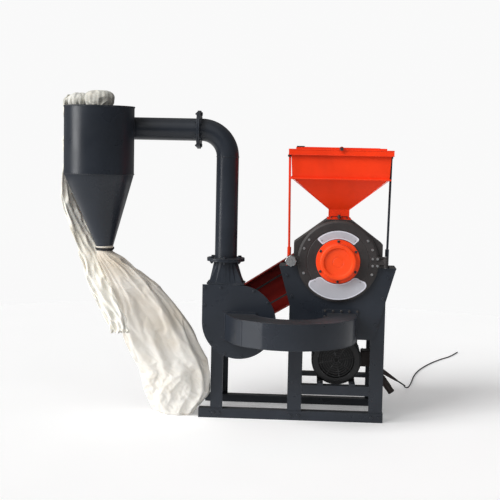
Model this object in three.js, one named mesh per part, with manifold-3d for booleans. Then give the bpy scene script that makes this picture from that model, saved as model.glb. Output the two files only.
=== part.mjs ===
// A belt-driven hammer mill with a suction blower, a dust cyclone and a collecting sack.
// Units are millimetres, +Z is up, +X is the operator's right and -Y is the operator's side.
// Dimensions below are measured from the mill shaft (X), the stand's front face (Y) and the
// floor (Z). The whole machine is then moved so that the origin is the centre of its footprint.
import * as THREE from 'three';
import { mergeVertices } from 'three/addons/utils/BufferGeometryUtils.js';
import Module from 'manifold-3d';

const wasm = await Module();
wasm.setup();

// ---------------------------------------------------------------- driving dimensions
const GAP = 0.3; // between faces that touch
const RUNNING = 0.7; // radial room of a shaft's faceted bore
const FOOTPRINT_X = -546.5; // centre of the footprint, from the mill shaft
const FOOTPRINT_Y = 22; // centre of the footprint, from the stand's front face

// stand
const STAND_DEPTH = 390;
const PLATE = 6; // thickness of heavy sections
const RAIL = 50; // bottom rail angle
const RAIL_T = 5;
const LEG_LEFT = [-652, -588];
const LEG_MIDDLE = [-246, -172];
const LEG_RIGHT = [180, 253];
const LEG_DEPTH = 75;
const RAIL_LEFT_END = -715;
const RAIL_RIGHT_END = 257;
const TOP_RAIL_Z = 448; // blower side
const LEG_TOP_Z = 811.7; // mill side
const MOTOR_RAIL_Z = 191;

// mill
const MILL_Z = 850;
const DOOR_R = 211;
const CHAMBER_R = 190;
const CHAMBER_BACK = 137;
const HOUSING_HALF = 230;
const HOUSING_TOP = 215; // above the shaft
const HOUSING_SHOULDER = 90;
const THROAT_HALF = 62; // top of the housing, where the hopper stands
const HOUSING_FOOT = -31.7; // below the shaft
const DOOR_FRONT = -31;
const DOOR_BACK = -14;
const CAP_FLANGE_R = 114;
const CAP_BOSS_R = 93;
const CAP_FRONT = -86;
const SHAFT_R = 25;
const PIN_CIRCLE = 110;
const HAMMER_REACH = 66;
const HAMMER_COUNT = 4;
const HINGE = [246, -20]; // door hinge pin, X and Y
const CLAMP = [-243, 7]; // clamp pivot, X and Y

// discharge hood below the mill
const HOOD_TOP = MILL_Z - 32;
const HOOD_TOP_HALF = 303;
const HOOD_BOTTOM = 440;
const HOOD_BOTTOM_HALF = 196;
const HOOD_BACK = 156;
const HOOD_FLOOR = 456; // bottom of the box behind the front plate

// blower
const BLOWER_X = -500;
const BLOWER_Z = 535;
const BLOWER_R = 190; // front plate
const SCROLL_R = 172;
const SCROLL_FRONT = -135;
const BLOWER_TOP = 726;
const OUTLET_X = [-662, -484];
const EYE_R = 56;

// suction duct, a half ring in plan
const DUCT_X = -237.5;
const DUCT_Y = -100;
const DUCT_OUTER = 337.5;
const DUCT_INNER = 187.5;
const DUCT_Z = [448, 578];

// pipework and cyclone
const PIPE_R = 57;
const PIPE_X = -577.5;
const PIPE_Y = -72;
const PIPE_Z = 1512;
const ELBOW_R = 135;
const FLANGE_R = 97;
const FLANGE_T = 8;
const JOINT_Z = 852; // riser's lower flange joint
const JOINT_X = -726; // riser's upper flange joint
const CYCLONE = [-1219, -190];
const CYCLONE_R = 176;
const CYCLONE_TOP = 1618;
const CYCLONE_SEAM = 1279;
const MOUTH_Z = 892;
const MOUTH_R = 39.5;
const MOUTH_SHIFT = 33; // the cone leans to the right
const NECK_R = 60;
const NECK_TOP = 1662;

// hopper
const HOPPER_Y = 75;
const RIM_Z = 1425;
const NECK_HALF = 52;
const GATE_Z = 1078;

// drive, all pulleys turn about lines along Y
const MOTOR = [8, 317];
const MOTOR_R = 132;
const MOTOR_SPAN = [58, 318];
const FINS = 22;
const MILL_PULLEY_R = 62.5;
const MOTOR_PULLEY_R = 75;
const BLOWER_PULLEY_R = 55;
const BLOWER_BELT_Y = 418;
const DRIVE_BELT_Y = 450;
const GUARD_HALF = 123;
const GUARD_BLOWER_HALF = 112;
const GUARD_SPAN = [398, 482];

// supply cable: from the gland down to the floor, then away to the rear right
const GLAND_TIP = [341, 180, 192];
const CABLE_R = 4;
const CABLE = [
  [342, 180, 191.5], [356, 181, 183], [370, 187, 173], [380.5, 199, 164.5], [386, 216, 158.5],
  [390, 290, 142], [404, 415, 110], [423, 542, 79], [443, 678, 49.5], [464, 814, 26],
  [485, 949, 10], [507, 1085, 4.3], [537, 1255, 4.3], [581, 1425, 4.3], [641, 1586, 4.3],
  [710, 1735, 4.3], [775, 1850, 4.3], [846, 1960, 4.3], [926, 2143, 4.3],
];

// ---------------------------------------------------------------- materials
function paint(color, roughness = 0.4, metalness = 0.1) {
  return new THREE.MeshStandardMaterial({ color, roughness, metalness });
}
const slate = paint(0x474c53, 0.35, 0.3);
const orange = paint(0xe2421c, 0.4, 0.1);
const capOrange = paint(0xee5a22, 0.4, 0.1);
const castIron = paint(0x34373b, 0.5, 0.6);
const steel = paint(0xa4a8ac, 0.35, 0.9);
const silver = paint(0xd9dadd, 0.45, 0.4);
const motorPaint = paint(0x1f2124, 0.5, 0.3);
const rubber = paint(0x141414, 0.85, 0);
const cloth = paint(0xe6e0cf, 0.95, 0);
const darkPlastic = paint(0x2a1d1b, 0.5, 0);

// ---------------------------------------------------------------- geometry helpers
function toSolid(geometry) {
  const bare = geometry.clone();
  bare.deleteAttribute('normal');
  bare.deleteAttribute('uv');
  const merged = mergeVertices(bare, 1e-3);
  const vertProperties = Float32Array.from(merged.attributes.position.array);
  const triVerts = Uint32Array.from(merged.index.array);
  if (volume(vertProperties, triVerts) < 0) {
    for (let i = 0; i < triVerts.length; i += 3) {
      [triVerts[i], triVerts[i + 1]] = [triVerts[i + 1], triVerts[i]];
    }
  }
  return new wasm.Manifold(new wasm.Mesh({ numProp: 3, vertProperties, triVerts }));
}

function volume(points, triangles) {
  const [a, b, c] = [new THREE.Vector3(), new THREE.Vector3(), new THREE.Vector3()];
  let sum = 0;
  for (let i = 0; i < triangles.length; i += 3) {
    a.fromArray(points, 3 * triangles[i]);
    b.fromArray(points, 3 * triangles[i + 1]);
    c.fromArray(points, 3 * triangles[i + 2]);
    sum += a.dot(b.cross(c)) / 6;
  }
  return sum;
}

function toGeometry(solid) {
  const mesh = solid.getMesh();
  const geometry = new THREE.BufferGeometry();
  const points = Float32Array.from(mesh.vertProperties);
  geometry.setAttribute('position', new THREE.BufferAttribute(points, 3));
  geometry.setIndex(new THREE.BufferAttribute(Uint32Array.from(mesh.triVerts), 1));
  geometry.computeVertexNormals();
  return geometry;
}

function join(first, ...others) {
  return others.reduce((sum, solid) => sum.add(solid), first);
}

function cut(first, ...others) {
  return others.reduce((rest, solid) => rest.subtract(solid), first);
}

function box([x0, x1], [y0, y1], [z0, z1]) {
  const geometry = new THREE.BoxGeometry(x1 - x0, y1 - y0, z1 - z0);
  return toSolid(geometry.translate((x0 + x1) / 2, (y0 + y1) / 2, (z0 + z1) / 2));
}

// Extrusions of an outline: across X (outline in Y, Z), Y (outline in X, Z) or Z (X, Y).
const AXES = {
  x: [new THREE.Vector3(0, 1, 0), new THREE.Vector3(0, 0, 1), new THREE.Vector3(1, 0, 0)],
  y: [new THREE.Vector3(1, 0, 0), new THREE.Vector3(0, 0, 1), new THREE.Vector3(0, -1, 0)],
  z: [new THREE.Vector3(1, 0, 0), new THREE.Vector3(0, 1, 0), new THREE.Vector3(0, 0, 1)],
};

function prism(axis, shape, [from, to], curveSegments = 24) {
  const outline = Array.isArray(shape) ? polygon(shape) : shape;
  const settings = { depth: to - from, bevelEnabled: false, curveSegments };
  const geometry = new THREE.ExtrudeGeometry(outline, settings);
  geometry.applyMatrix4(new THREE.Matrix4().makeBasis(...AXES[axis]));
  const start = { x: [from, 0, 0], y: [0, to, 0], z: [0, 0, from] }[axis];
  return toSolid(geometry.translate(...start));
}

function polygon(points) {
  return new THREE.Shape(points.map(([u, v]) => new THREE.Vector2(u, v)));
}

function circlePoints([u, v], radius, segments, from = 0, to = 360) {
  const whole = to - from === 360;
  const points = [];
  for (let i = 0; i < segments + (whole ? 0 : 1); i++) {
    const angle = THREE.MathUtils.degToRad(from + ((to - from) * i) / segments);
    points.push([u + radius * Math.cos(angle), v + radius * Math.sin(angle)]);
  }
  return points;
}

function disc(axis, centre, radius, span, segments = 32) {
  return prism(axis, circlePoints(centre, radius, segments), span);
}

function ring(axis, centre, outer, inner, [from, to], segments = 32) {
  const hole = disc(axis, centre, inner, [from - 1, to + 1], segments);
  return disc(axis, centre, outer, [from, to], segments).subtract(hole);
}

// A turned piece about a line along Y through (x, z); the profile lists radius and Y.
function turned([x, z], profile, segments = 32) {
  const points = profile.map(([radius, y]) => new THREE.Vector2(radius, y));
  return toSolid(new THREE.LatheGeometry(points, segments).translate(x, 0, z));
}

// A closed body through rings of equal point count, each ring a list of [x, y, z].
function loft(rings) {
  const count = rings[0].length;
  const index = [];
  for (let r = 0; r < rings.length - 1; r++) {
    for (let i = 0; i < count; i++) {
      const next = (i + 1) % count;
      const [a, b] = [r * count + i, r * count + next];
      index.push(a, b, b + count, a, b + count, a + count);
    }
  }
  const last = (rings.length - 1) * count;
  for (let i = 1; i < count - 1; i++) {
    index.push(0, i + 1, i, last, last + i, last + i + 1);
  }
  const geometry = new THREE.BufferGeometry();
  geometry.setAttribute('position', new THREE.Float32BufferAttribute(rings.flat(2), 3));
  geometry.setIndex(index);
  return toSolid(geometry);
}

function flatRing([x, y], radius, z, segments) {
  return circlePoints([x, y], radius, segments).map(([u, v]) => [u, v, z]);
}

function rectangle([x, y], halfX, halfY, z) {
  const signs = [[-1, -1], [1, -1], [1, 1], [-1, 1]];
  return signs.map(([sx, sy]) => [x + sx * halfX, y + sy * halfY, z]);
}

// A round bar between two points.
function bar(from, to, radius, segments = 12, endRadius = radius) {
  const start = new THREE.Vector3(...from);
  const end = new THREE.Vector3(...to);
  const geometry = new THREE.CylinderGeometry(endRadius, radius, start.distanceTo(end), segments);
  const up = new THREE.Vector3(0, 1, 0);
  const along = end.clone().sub(start).normalize();
  geometry.applyQuaternion(new THREE.Quaternion().setFromUnitVectors(up, along));
  return toSolid(geometry.translate(...start.add(end).multiplyScalar(0.5)));
}

// The outline of two circles and the tangents round them.
function beltLine(first, firstR, second, secondR, steps = 10) {
  const heading = Math.atan2(second[1] - first[1], second[0] - first[0]);
  const apart = Math.hypot(second[0] - first[0], second[1] - first[1]);
  const lean = Math.acos((firstR - secondR) / apart);
  const degrees = THREE.MathUtils.radToDeg;
  const [out, back] = [degrees(heading + lean), degrees(heading - lean)];
  const farSide = circlePoints(first, firstR, steps, out, back + 360);
  const nearSide = circlePoints(second, secondR, steps, back, out);
  return [...farSide, ...nearSide];
}

// ---------------------------------------------------------------- assembly
const machine = new THREE.Group();
machine.position.set(-FOOTPRINT_X, -FOOTPRINT_Y, 0);

function add(name, solid, material) {
  const mesh = new THREE.Mesh(toGeometry(solid), material);
  mesh.name = name;
  machine.add(mesh);
}

// ---------------------------------------------------------------- stand
function legFrame([x0, x1], outer, top, shelfZ) {
  const back = STAND_DEPTH;
  const [o0, o1] = outer === 'left' ? [x0, x0 + PLATE] : [x1 - PLATE, x1];
  const foot = RAIL + GAP;
  const frontTop = Math.min(top, MILL_Z - 90);
  const shelfX = outer === 'left' ? [x0, x0 + RAIL] : [x1 - RAIL, x1];
  return join(
    box([x0, x1], [0, PLATE], [foot, frontTop]),
    box([o0, o1], [0, LEG_DEPTH], [foot, top]),
    box([x0, x1], [back - PLATE, back], [foot, top]),
    box([o0, o1], [back - LEG_DEPTH, back], [foot, top]),
    box([o0, o1], [0, back], [foot, foot + RAIL]),
    box([o0, o1], [0, back], [shelfZ - RAIL, top]),
    box(shelfX, [HOOD_BACK + 4, back], [shelfZ - PLATE, shelfZ]),
  );
}

// An angle-section rail along X with its corner up and out.
function rail([x0, x1], side, top, height = RAIL) {
  const [web, flange] = side === 'front'
    ? [[0, RAIL_T], [0, RAIL]]
    : [[STAND_DEPTH - RAIL_T, STAND_DEPTH], [STAND_DEPTH - RAIL, STAND_DEPTH]];
  return join(box([x0, x1], web, [top - height, top]), box([x0, x1], flange, [top - RAIL_T, top]));
}

function addStand() {
  const shelf = MILL_Z - 132;
  add('left_leg_frame', legFrame(LEG_LEFT, 'left', TOP_RAIL_Z, TOP_RAIL_Z), slate);
  add('middle_leg_frame', legFrame(LEG_MIDDLE, 'left', LEG_TOP_Z, shelf), slate);
  add('right_leg_frame', legFrame(LEG_RIGHT, 'right', LEG_TOP_Z, shelf), slate);
  const whole = [RAIL_LEFT_END, RAIL_RIGHT_END];
  const leftBay = [LEG_LEFT[1] + GAP, LEG_MIDDLE[0] - GAP];
  const rightBay = [LEG_MIDDLE[1] + GAP, LEG_RIGHT[0] - GAP];
  for (const side of ['front', 'rear']) {
    add(`bottom_rail_${side}`, rail(whole, side, RAIL), slate);
    add(`blower_rail_${side}`, rail(leftBay, side, TOP_RAIL_Z), slate);
    add(`motor_rail_${side}`, rail(rightBay, side, MOTOR_RAIL_Z, side === 'front' ? RAIL : 30), slate);
  }
}

// ---------------------------------------------------------------- mill
function hoodHalf(z) {
  const slope = (HOOD_TOP_HALF - HOOD_BOTTOM_HALF) / (HOOD_TOP - HOOD_BOTTOM);
  return HOOD_BOTTOM_HALF + slope * (z - HOOD_BOTTOM);
}

function trapezoid(inset, bottom, top, most = 1000) {
  const [low, high] = [bottom, top].map((z) => Math.min(hoodHalf(z) - inset, most));
  return [[-low, bottom], [low, bottom], [high, top], [-high, top]];
}

function addHood() {
  const front = -PLATE - GAP;
  const inLegs = 66; // the box behind the plate stands between the legs' outer flanges
  const ledge = [HOOD_TOP - PLATE, HOOD_TOP];
  const outside = join(
    prism('y', trapezoid(0, HOOD_BOTTOM, HOOD_TOP), [front, -GAP]),
    prism('y', trapezoid(inLegs, HOOD_FLOOR, HOOD_TOP, 170), [-1, 8]),
    prism('y', trapezoid(inLegs, HOOD_FLOOR, HOOD_TOP), [PLATE + GAP, HOOD_BACK]),
    box([-HOOD_TOP_HALF, -200], [front, HOOD_BACK], ledge),
    box([200, HOOD_TOP_HALF], [front, HOOD_BACK], ledge),
  );
  const skin = 4;
  const hollow = join(
    prism('y', trapezoid(inLegs + skin, HOOD_FLOOR + skin, HOOD_TOP + 1, 166), [-GAP, 12]),
    prism('y', trapezoid(inLegs + skin, HOOD_FLOOR + skin, HOOD_TOP + 1),
      [PLATE + GAP + skin, HOOD_BACK - skin]),
  );
  const millHole = disc('y', [0, MILL_Z], CHAMBER_R + 1, [front - 1, 20], 36);
  const mouthWidth = [DUCT_X + DUCT_INNER + 3, DUCT_X + DUCT_OUTER - 3];
  const mouth = box(mouthWidth, [front - 1, 12], [HOOD_FLOOR + skin, DUCT_Z[1] - 3]);
  add('discharge_hood', cut(outside, hollow, millHole, mouth), slate);
}

function housingOutline() {
  const [foot, shoulder, top] = [HOUSING_FOOT, HOUSING_SHOULDER, HOUSING_TOP].map((z) => MILL_Z + z);
  const [half, throat] = [HOUSING_HALF, THROAT_HALF];
  return [[-half, foot], [half, foot], [half, shoulder], [throat, top], [-throat, top], [-half, shoulder]];
}

function addHousing() {
  const centre = [0, MILL_Z];
  const [hx, hy] = HINGE;
  const [cx, cy] = CLAMP;
  const shell = prism('y', housingOutline(), [-6.5, CHAMBER_BACK + 10]);
  const backDisc = disc('y', centre, CHAMBER_R, [CHAMBER_BACK, CHAMBER_BACK + 10], 28);
  const faceRing = disc('y', centre, DOOR_R, [-13.5, -6.4], 32);
  const chamber = disc('y', centre, CHAMBER_R, [-7, CHAMBER_BACK], 28);
  const opening = disc('y', centre, 168, [-15, 0], 30);
  const inletHeight = [MILL_Z + 150, MILL_Z + HOUSING_TOP + 1];
  const inlet = box([-NECK_HALF + 3, NECK_HALF - 3], [HOPPER_Y - 49, HOPPER_Y + 49], inletHeight);
  const shaftHole = disc('y', centre, SHAFT_R + 3, [CHAMBER_BACK - 1, CHAMBER_BACK + 11], 16);
  const knuckles = [[822, 837.7], [862.3, 878]].flatMap((span) => [
    disc('z', HINGE, 11, span, 16),
    box([HOUSING_HALF - 15, hx + 4], [hy + 4, -6], span),
  ]);
  const ears = [[MILL_Z - 22, MILL_Z - 13], [MILL_Z + 13, MILL_Z + 22]].map((span) => (
    box([cx - 14, -HOUSING_HALF + 2], [cy - 13, cy + 13], span)));
  const bores = [
    disc('z', HINGE, 6.35, [800, 900], 16),
    disc('z', CLAMP, 5.35, [MILL_Z - 30, MILL_Z + 30], 16),
  ];
  const drum = join(cut(join(shell, backDisc), chamber), faceRing);
  const whole = join(cut(drum, opening, inlet, shaftHole), ...knuckles, ...ears);
  add('mill_housing', cut(whole, ...bores), castIron);
  const lining = [
    ...circlePoints(centre, 187, 24, 195, 345),
    ...circlePoints(centre, 184, 24, 195, 345).reverse(),
  ];
  const slots = [];
  for (let turn = 206; turn <= 334; turn += 16) {
    const [x, z] = circlePoints(centre, 185.5, 1, turn, turn + 1)[0];
    for (const y of [12, 70]) {
      slots.push(box([x - 5, x + 5], [y, y + 44], [z - 5, z + 5]));
    }
  }
  add('screen', cut(prism('y', lining, [-5, CHAMBER_BACK - GAP]), ...slots), steel);
}

function addDoor() {
  const centre = [0, MILL_Z];
  const [hx, hy] = HINGE;
  const disk = turned(centre, [[98, DOOR_BACK], [98, DOOR_FRONT], [198, DOOR_FRONT], [DOOR_R, DOOR_FRONT + 5],
    [DOOR_R, DOOR_BACK], [98, DOOR_BACK]], 40);
  const span = [838, 862];
  const arm = join(box([200, hx + 2], [hy - 8, DOOR_BACK], span), disc('z', HINGE, 11, span, 16));
  const lug = box([CLAMP[0] - 12, -196], [DOOR_FRONT, DOOR_BACK], [MILL_Z - 22, MILL_Z + 22]);
  const slot = box([CLAMP[0] - 16, CLAMP[0] + 9], [DOOR_FRONT - 1, DOOR_BACK + 1], [MILL_Z - 9, MILL_Z + 9]);
  const bore = disc('z', HINGE, 6.35, [830, 870], 16);
  add('mill_door', cut(join(disk, arm, lug), slot, bore), castIron);
  add('door_hinge_pin', disc('z', HINGE, 6, [819, 881], 16), steel);

  const back = DOOR_FRONT - GAP;
  const cap = turned(centre, [[0, -70], [0, -76], [66, -76], [76, CAP_FRONT], [CAP_BOSS_R - 6, CAP_FRONT],
    [CAP_BOSS_R, CAP_FRONT + 6], [CAP_BOSS_R, back - 8], [CAP_FLANGE_R, back - 8], [CAP_FLANGE_R, back],
    [CAP_BOSS_R - 7, back], [CAP_BOSS_R - 7, -70], [0, -70]], 32);
  add('hub_cap', cap, capOrange);

  const plate = (from, to, inner, outer) => prism('y', [...circlePoints(centre, outer, 12, from, to),
    ...circlePoints(centre, inner, 12, from, to).reverse()], [back - 2, back]);
  add('blank_plate_upper', plate(47, 134, CAP_FLANGE_R + 3, 159), silver);
  add('blank_plate_lower', plate(217, 323, CAP_FLANGE_R + 3, 199), silver);
}

function addClamp() {
  const [cx, cy] = CLAMP;
  const eye = disc('z', CLAMP, 12, [MILL_Z - 12.7, MILL_Z + 12.7], 16);
  const pin = disc('z', CLAMP, 5, [MILL_Z - 25, MILL_Z + 25], 16);
  const rod = bar([cx, cy, MILL_Z], [cx, -82, MILL_Z], 8);
  add('clamp_bolt', join(eye, pin, rod), steel);
  const centre = [cx, MILL_Z];
  const points = [];
  for (let i = 0; i < 40; i++) {
    const angle = (i * Math.PI) / 20;
    const radius = 28.5 + 1.5 * Math.cos(8 * angle);
    points.push([cx + radius * Math.cos(angle), MILL_Z + radius * Math.sin(angle)]);
  }
  const grip = prism('y', points, [-70, -46]);
  const collar = disc('y', centre, 13, [-47, DOOR_FRONT - 4], 16);
  add('clamp_nut', cut(join(grip, collar), disc('y', centre, 8.4, [-71, 0], 12)), steel);
}

function pinCentre(i) {
  const angle = Math.PI / 4 + (i * 2 * Math.PI) / HAMMER_COUNT;
  return [PIN_CIRCLE * Math.cos(angle), MILL_Z + PIN_CIRCLE * Math.sin(angle)];
}

function addRotor() {
  const centre = [0, MILL_Z];
  const discs = [[12, 20], [104, 112]].map((span) => disc('y', centre, 126, span, 28));
  const hub = disc('y', centre, 34, [12, 112], 18);
  const bores = [disc('y', centre, SHAFT_R + GAP, [0, 130], 16)];
  for (let i = 0; i < HAMMER_COUNT; i++) {
    bores.push(disc('y', pinCentre(i), 7.3, [0, 130], 12));
  }
  add('rotor_discs', cut(join(...discs, hub), ...bores), castIron);
  const shaft = turned(centre, [[0, 0], [18, 0], [18, 10], [SHAFT_R, 11], [SHAFT_R, 466], [0, 466]], 16);
  add('mill_shaft', shaft, steel);
  for (let i = 0; i < HAMMER_COUNT; i++) {
    const [x, z] = pinCentre(i);
    add(`hammer_pin_${i + 1}`, disc('y', [x, z], 7, [8, 116], 12), steel);
    const block = box([x - 20, x + 20], [24, 100], [z - HAMMER_REACH, z + 16]);
    add(`hammer_${i + 1}`, block.subtract(disc('y', [x, z], 7.35, [20, 110], 12)), steel);
  }
}

function addMillBearing() {
  const shelf = MILL_Z - 132 + GAP;
  const [front, back] = [162, 384];
  const foot = box([LEG_MIDDLE[0] + PLATE + 2, LEG_RIGHT[1] - PLATE - 2], [front, back], [shelf, shelf + 14]);
  const webs = [
    box([-70, 70], [front, back], [shelf + 10, MILL_Z]),
    box([-8, 8], [front, back], [shelf, MILL_Z]),
  ];
  const barrel = turned([0, MILL_Z], [
    [0, front], [70, front], [70, front + 30], [60, front + 40], [60, back - 40],
    [70, back - 30], [70, back], [0, back],
  ], 24);
  const bore = disc('y', [0, MILL_Z], SHAFT_R + RUNNING, [front - 1, back + 1], 16);
  add('mill_bearing_pedestal', cut(join(foot, ...webs, barrel), bore), castIron);
}

// ---------------------------------------------------------------- drive
function pulley(centre, radius, bore, span, grooves) {
  const profile = [[bore, span[0]], [radius, span[0]]];
  for (const [from, to] of grooves) {
    profile.push([radius, from], [radius - 9, from + 1], [radius - 9, to - 1], [radius, to]);
  }
  profile.push([radius, span[1]], [bore, span[1]], [bore, span[0]]);
  return turned(centre, profile, 20);
}

function belt(first, firstR, second, secondR, middle, width) {
  const outer = polygon(beltLine(first, firstR + 1, second, secondR + 1));
  outer.holes.push(polygon(beltLine(first, firstR - 7.6, second, secondR - 7.6)));
  return prism('y', outer, [middle - width / 2, middle + width / 2]);
}

function addMotor() {
  const [front, back] = MOTOR_SPAN;
  const [mx, mz] = MOTOR;
  const fins = [];
  for (let i = 0; i < FINS; i++) {
    const root = MOTOR_R - 12;
    for (const [step, radius] of [[0.1, MOTOR_R], [0.4, MOTOR_R], [0.55, root], [0.95, root]]) {
      const angle = ((i + step) * 2 * Math.PI) / FINS;
      fins.push([mx + radius * Math.cos(angle), mz + radius * Math.sin(angle)]);
    }
  }
  const slides = [[-90, 6], [90, -6]];
  const footHeight = [MOTOR_RAIL_Z + 12 + GAP, mz - 40];
  const feet = slides.map(([x, lean]) =>
    box([mx + x - 14 + lean, mx + x + 14 + lean], [front + 80, back - 40], footHeight));
  const rim = MOTOR_R - 8;
  const shieldLine = [[0, back - 30], [rim, back - 30], [rim, back - 12], [60, back], [0, back]];
  const shield = turned(MOTOR, shieldLine, 22);
  const bore = disc('y', MOTOR, 19 + RUNNING, [back - 60, back + 1], 16);
  const body = join(prism('y', fins, [front + 62, back - 28]), shield, ...feet);
  add('motor_body', cut(body, bore), motorPaint);

  const joint = front + 62 - GAP;
  const cowl = turned(MOTOR, [
    [0, front], [MOTOR_R - 14, front], [MOTOR_R, front + 12], [MOTOR_R, joint],
    [MOTOR_R - 3, joint], [MOTOR_R - 3, front + 13], [MOTOR_R - 15, front + 3], [0, front + 3],
  ], 32);
  add('fan_cowl', cowl, motorPaint);
  add('motor_shaft', disc('y', MOTOR, 19, [back - 50, 474], 16), steel);
  const groove = [[DRIVE_BELT_Y - 17, DRIVE_BELT_Y + 17]];
  const width = [DRIVE_BELT_Y - 22, DRIVE_BELT_Y + 22];
  add('motor_pulley', pulley(MOTOR, MOTOR_PULLEY_R, 19 + RUNNING, width, groove), castIron);

  const top = [MOTOR_RAIL_Z + GAP, MOTOR_RAIL_Z + 12];
  const bars = slides.map(([x, lean]) =>
    box([mx + x - 16 + lean, mx + x + 16 + lean], [2, STAND_DEPTH - 2], top));
  const cross = box([mx - 90, mx + 90], [back + 14, back + 34], top);
  add('motor_slide_base', join(...bars, cross), slate);
}

function addTerminalBox() {
  const boxX = [MOTOR[0] + MOTOR_R + GAP, 246];
  const elbow = (radius) => bar([204, 180, 280], [313, 180, 128], radius, 16);
  add('terminal_box', join(box(boxX, [138, 222], [272, 350]), elbow(18)), darkPlastic);
  add('cable_gland', cut(bar([245, 180, 251], GLAND_TIP, 15, 12, 5.5), elbow(18 + GAP)), darkPlastic);
}

function addCable() {
  const points = CABLE.map((point) => new THREE.Vector3(...point));
  const path = new THREE.CatmullRomCurve3(points, false, 'centripetal');
  const section = polygon(circlePoints([0, 0], CABLE_R, 8));
  const geometry = new THREE.ExtrudeGeometry(section, { steps: 60, bevelEnabled: false, extrudePath: path });
  add('power_cable', toSolid(geometry), rubber);
}

function addMillDrive() {
  const centre = [0, MILL_Z];
  const grooves = [[BLOWER_BELT_Y - 9, BLOWER_BELT_Y + 9], [DRIVE_BELT_Y - 17, DRIVE_BELT_Y + 17]];
  add('mill_pulley', pulley(centre, MILL_PULLEY_R, SHAFT_R + RUNNING, [404, 472], grooves), castIron);
  const blower = [BLOWER_X, BLOWER_Z];
  add('drive_belt', belt(MOTOR, MOTOR_PULLEY_R, centre, MILL_PULLEY_R, DRIVE_BELT_Y, 30), rubber);
  add('blower_belt', belt(blower, BLOWER_PULLEY_R, centre, MILL_PULLEY_R, BLOWER_BELT_Y, 14), rubber);

  const runs = (inset, span) => join(
    prism('y', beltLine(blower, GUARD_BLOWER_HALF - inset, centre, GUARD_HALF - inset), span),
    prism('y', beltLine(MOTOR, GUARD_HALF - inset, centre, GUARD_HALF - inset), span));
  const [front, back] = GUARD_SPAN;
  const tabs = [
    box([LEG_MIDDLE[0], 7 - GUARD_HALF], [STAND_DEPTH + GAP, front + 8], [585, 615]),
    box([GUARD_HALF - 7, LEG_RIGHT[1]], [STAND_DEPTH + GAP, front + 8], [585, 615]),
    box([BLOWER_X - 15, BLOWER_X + 15], [STAND_DEPTH + GAP, front + 8],
      [400, BLOWER_Z - GUARD_BLOWER_HALF + 5]),
  ];
  add('belt_guard', join(cut(runs(0, [front, back]), runs(3, [front - 1, back - 3])), ...tabs), orange);
}

// ---------------------------------------------------------------- blower
function addBlower() {
  const centre = [BLOWER_X, BLOWER_Z];
  const eye = disc('y', [BLOWER_X, (DUCT_Z[0] + DUCT_Z[1]) / 2 + 4], EYE_R, [-160, -120], 24);
  const thickness = [SCROLL_FRONT - 5, SCROLL_FRONT - GAP];
  const corner = box([BLOWER_X - BLOWER_R, BLOWER_X], thickness, [BLOWER_Z, BLOWER_TOP]);
  const plate = disc('y', centre, BLOWER_R, thickness, 48);
  add('blower_front_plate', cut(join(plate, corner), eye), slate);

  const back = -GAP;
  const rim = [SCROLL_FRONT, SCROLL_FRONT + 4];
  const outlet = (inset, span, top) => join(
    disc('y', centre, SCROLL_R - inset, span, 32),
    box([OUTLET_X[0] + inset, OUTLET_X[1] - inset], span, [BLOWER_Z, top]));
  const shoulder = box([BLOWER_X - BLOWER_R + 2, BLOWER_X], rim, [BLOWER_Z, BLOWER_TOP - 4]);
  const flange = join(disc('y', centre, BLOWER_R - 2, rim, 40), shoulder);
  const casing = join(outlet(0, [SCROLL_FRONT, back], BLOWER_TOP - 1), flange);
  const shaftHole = disc('y', centre, 22, [-20, 1], 14);
  const inside = outlet(4, [SCROLL_FRONT - 1, back - 5], BLOWER_TOP + 1);
  add('blower_casing', cut(casing, inside, shaftHole), slate);

  const blades = [];
  for (let i = 0; i < 6; i++) {
    const turn = (i * Math.PI) / 3;
    const [c, s] = [Math.cos(turn), Math.sin(turn)];
    const at = (u, v) => [BLOWER_X + u * c - v * s, BLOWER_Z + u * s + v * c];
    blades.push(prism('y', [at(24, -3), at(140, -3), at(140, 3), at(24, 3)], [-108, -28]));
  }
  const hub = disc('y', centre, 32, [-100, -20], 16);
  const backDisc = disc('y', centre, 140, [-28, -23], 28);
  add('impeller', cut(join(hub, backDisc, ...blades), disc('y', centre, 17 + GAP, [-110, -10], 16)), steel);
  add('blower_shaft', disc('y', centre, 17, [-104, 434], 16), steel);
  const groove = [[BLOWER_BELT_Y - 9, BLOWER_BELT_Y + 9]];
  add('blower_pulley', pulley(centre, BLOWER_PULLEY_R, 17 + RUNNING, [404, 432], groove), castIron);

  const foot = TOP_RAIL_Z + GAP;
  const [front, rear] = [12, 378];
  const base = box([BLOWER_X - 60, BLOWER_X + 60], [front, rear], [foot, foot + 10]);
  const web = box([BLOWER_X - 34, BLOWER_X + 34], [70, 320], [foot, BLOWER_Z]);
  const barrel = disc('y', centre, 42, [60, 330], 24);
  const bore = disc('y', centre, 17 + RUNNING, [50, 340], 16);
  add('blower_bearing_pedestal', cut(join(base, web, barrel), bore), castIron);
}

// ---------------------------------------------------------------- ducts and pipes
function ductPlan(inset, right) {
  const centre = [DUCT_X, DUCT_Y];
  const [outer, inner] = [DUCT_OUTER - inset, DUCT_INNER + inset];
  return [
    ...circlePoints(centre, outer, 30, 180, 360), [DUCT_X + outer, right],
    [DUCT_X + inner, right], ...circlePoints(centre, inner, 22, 180, 360).reverse(),
  ];
}

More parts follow.
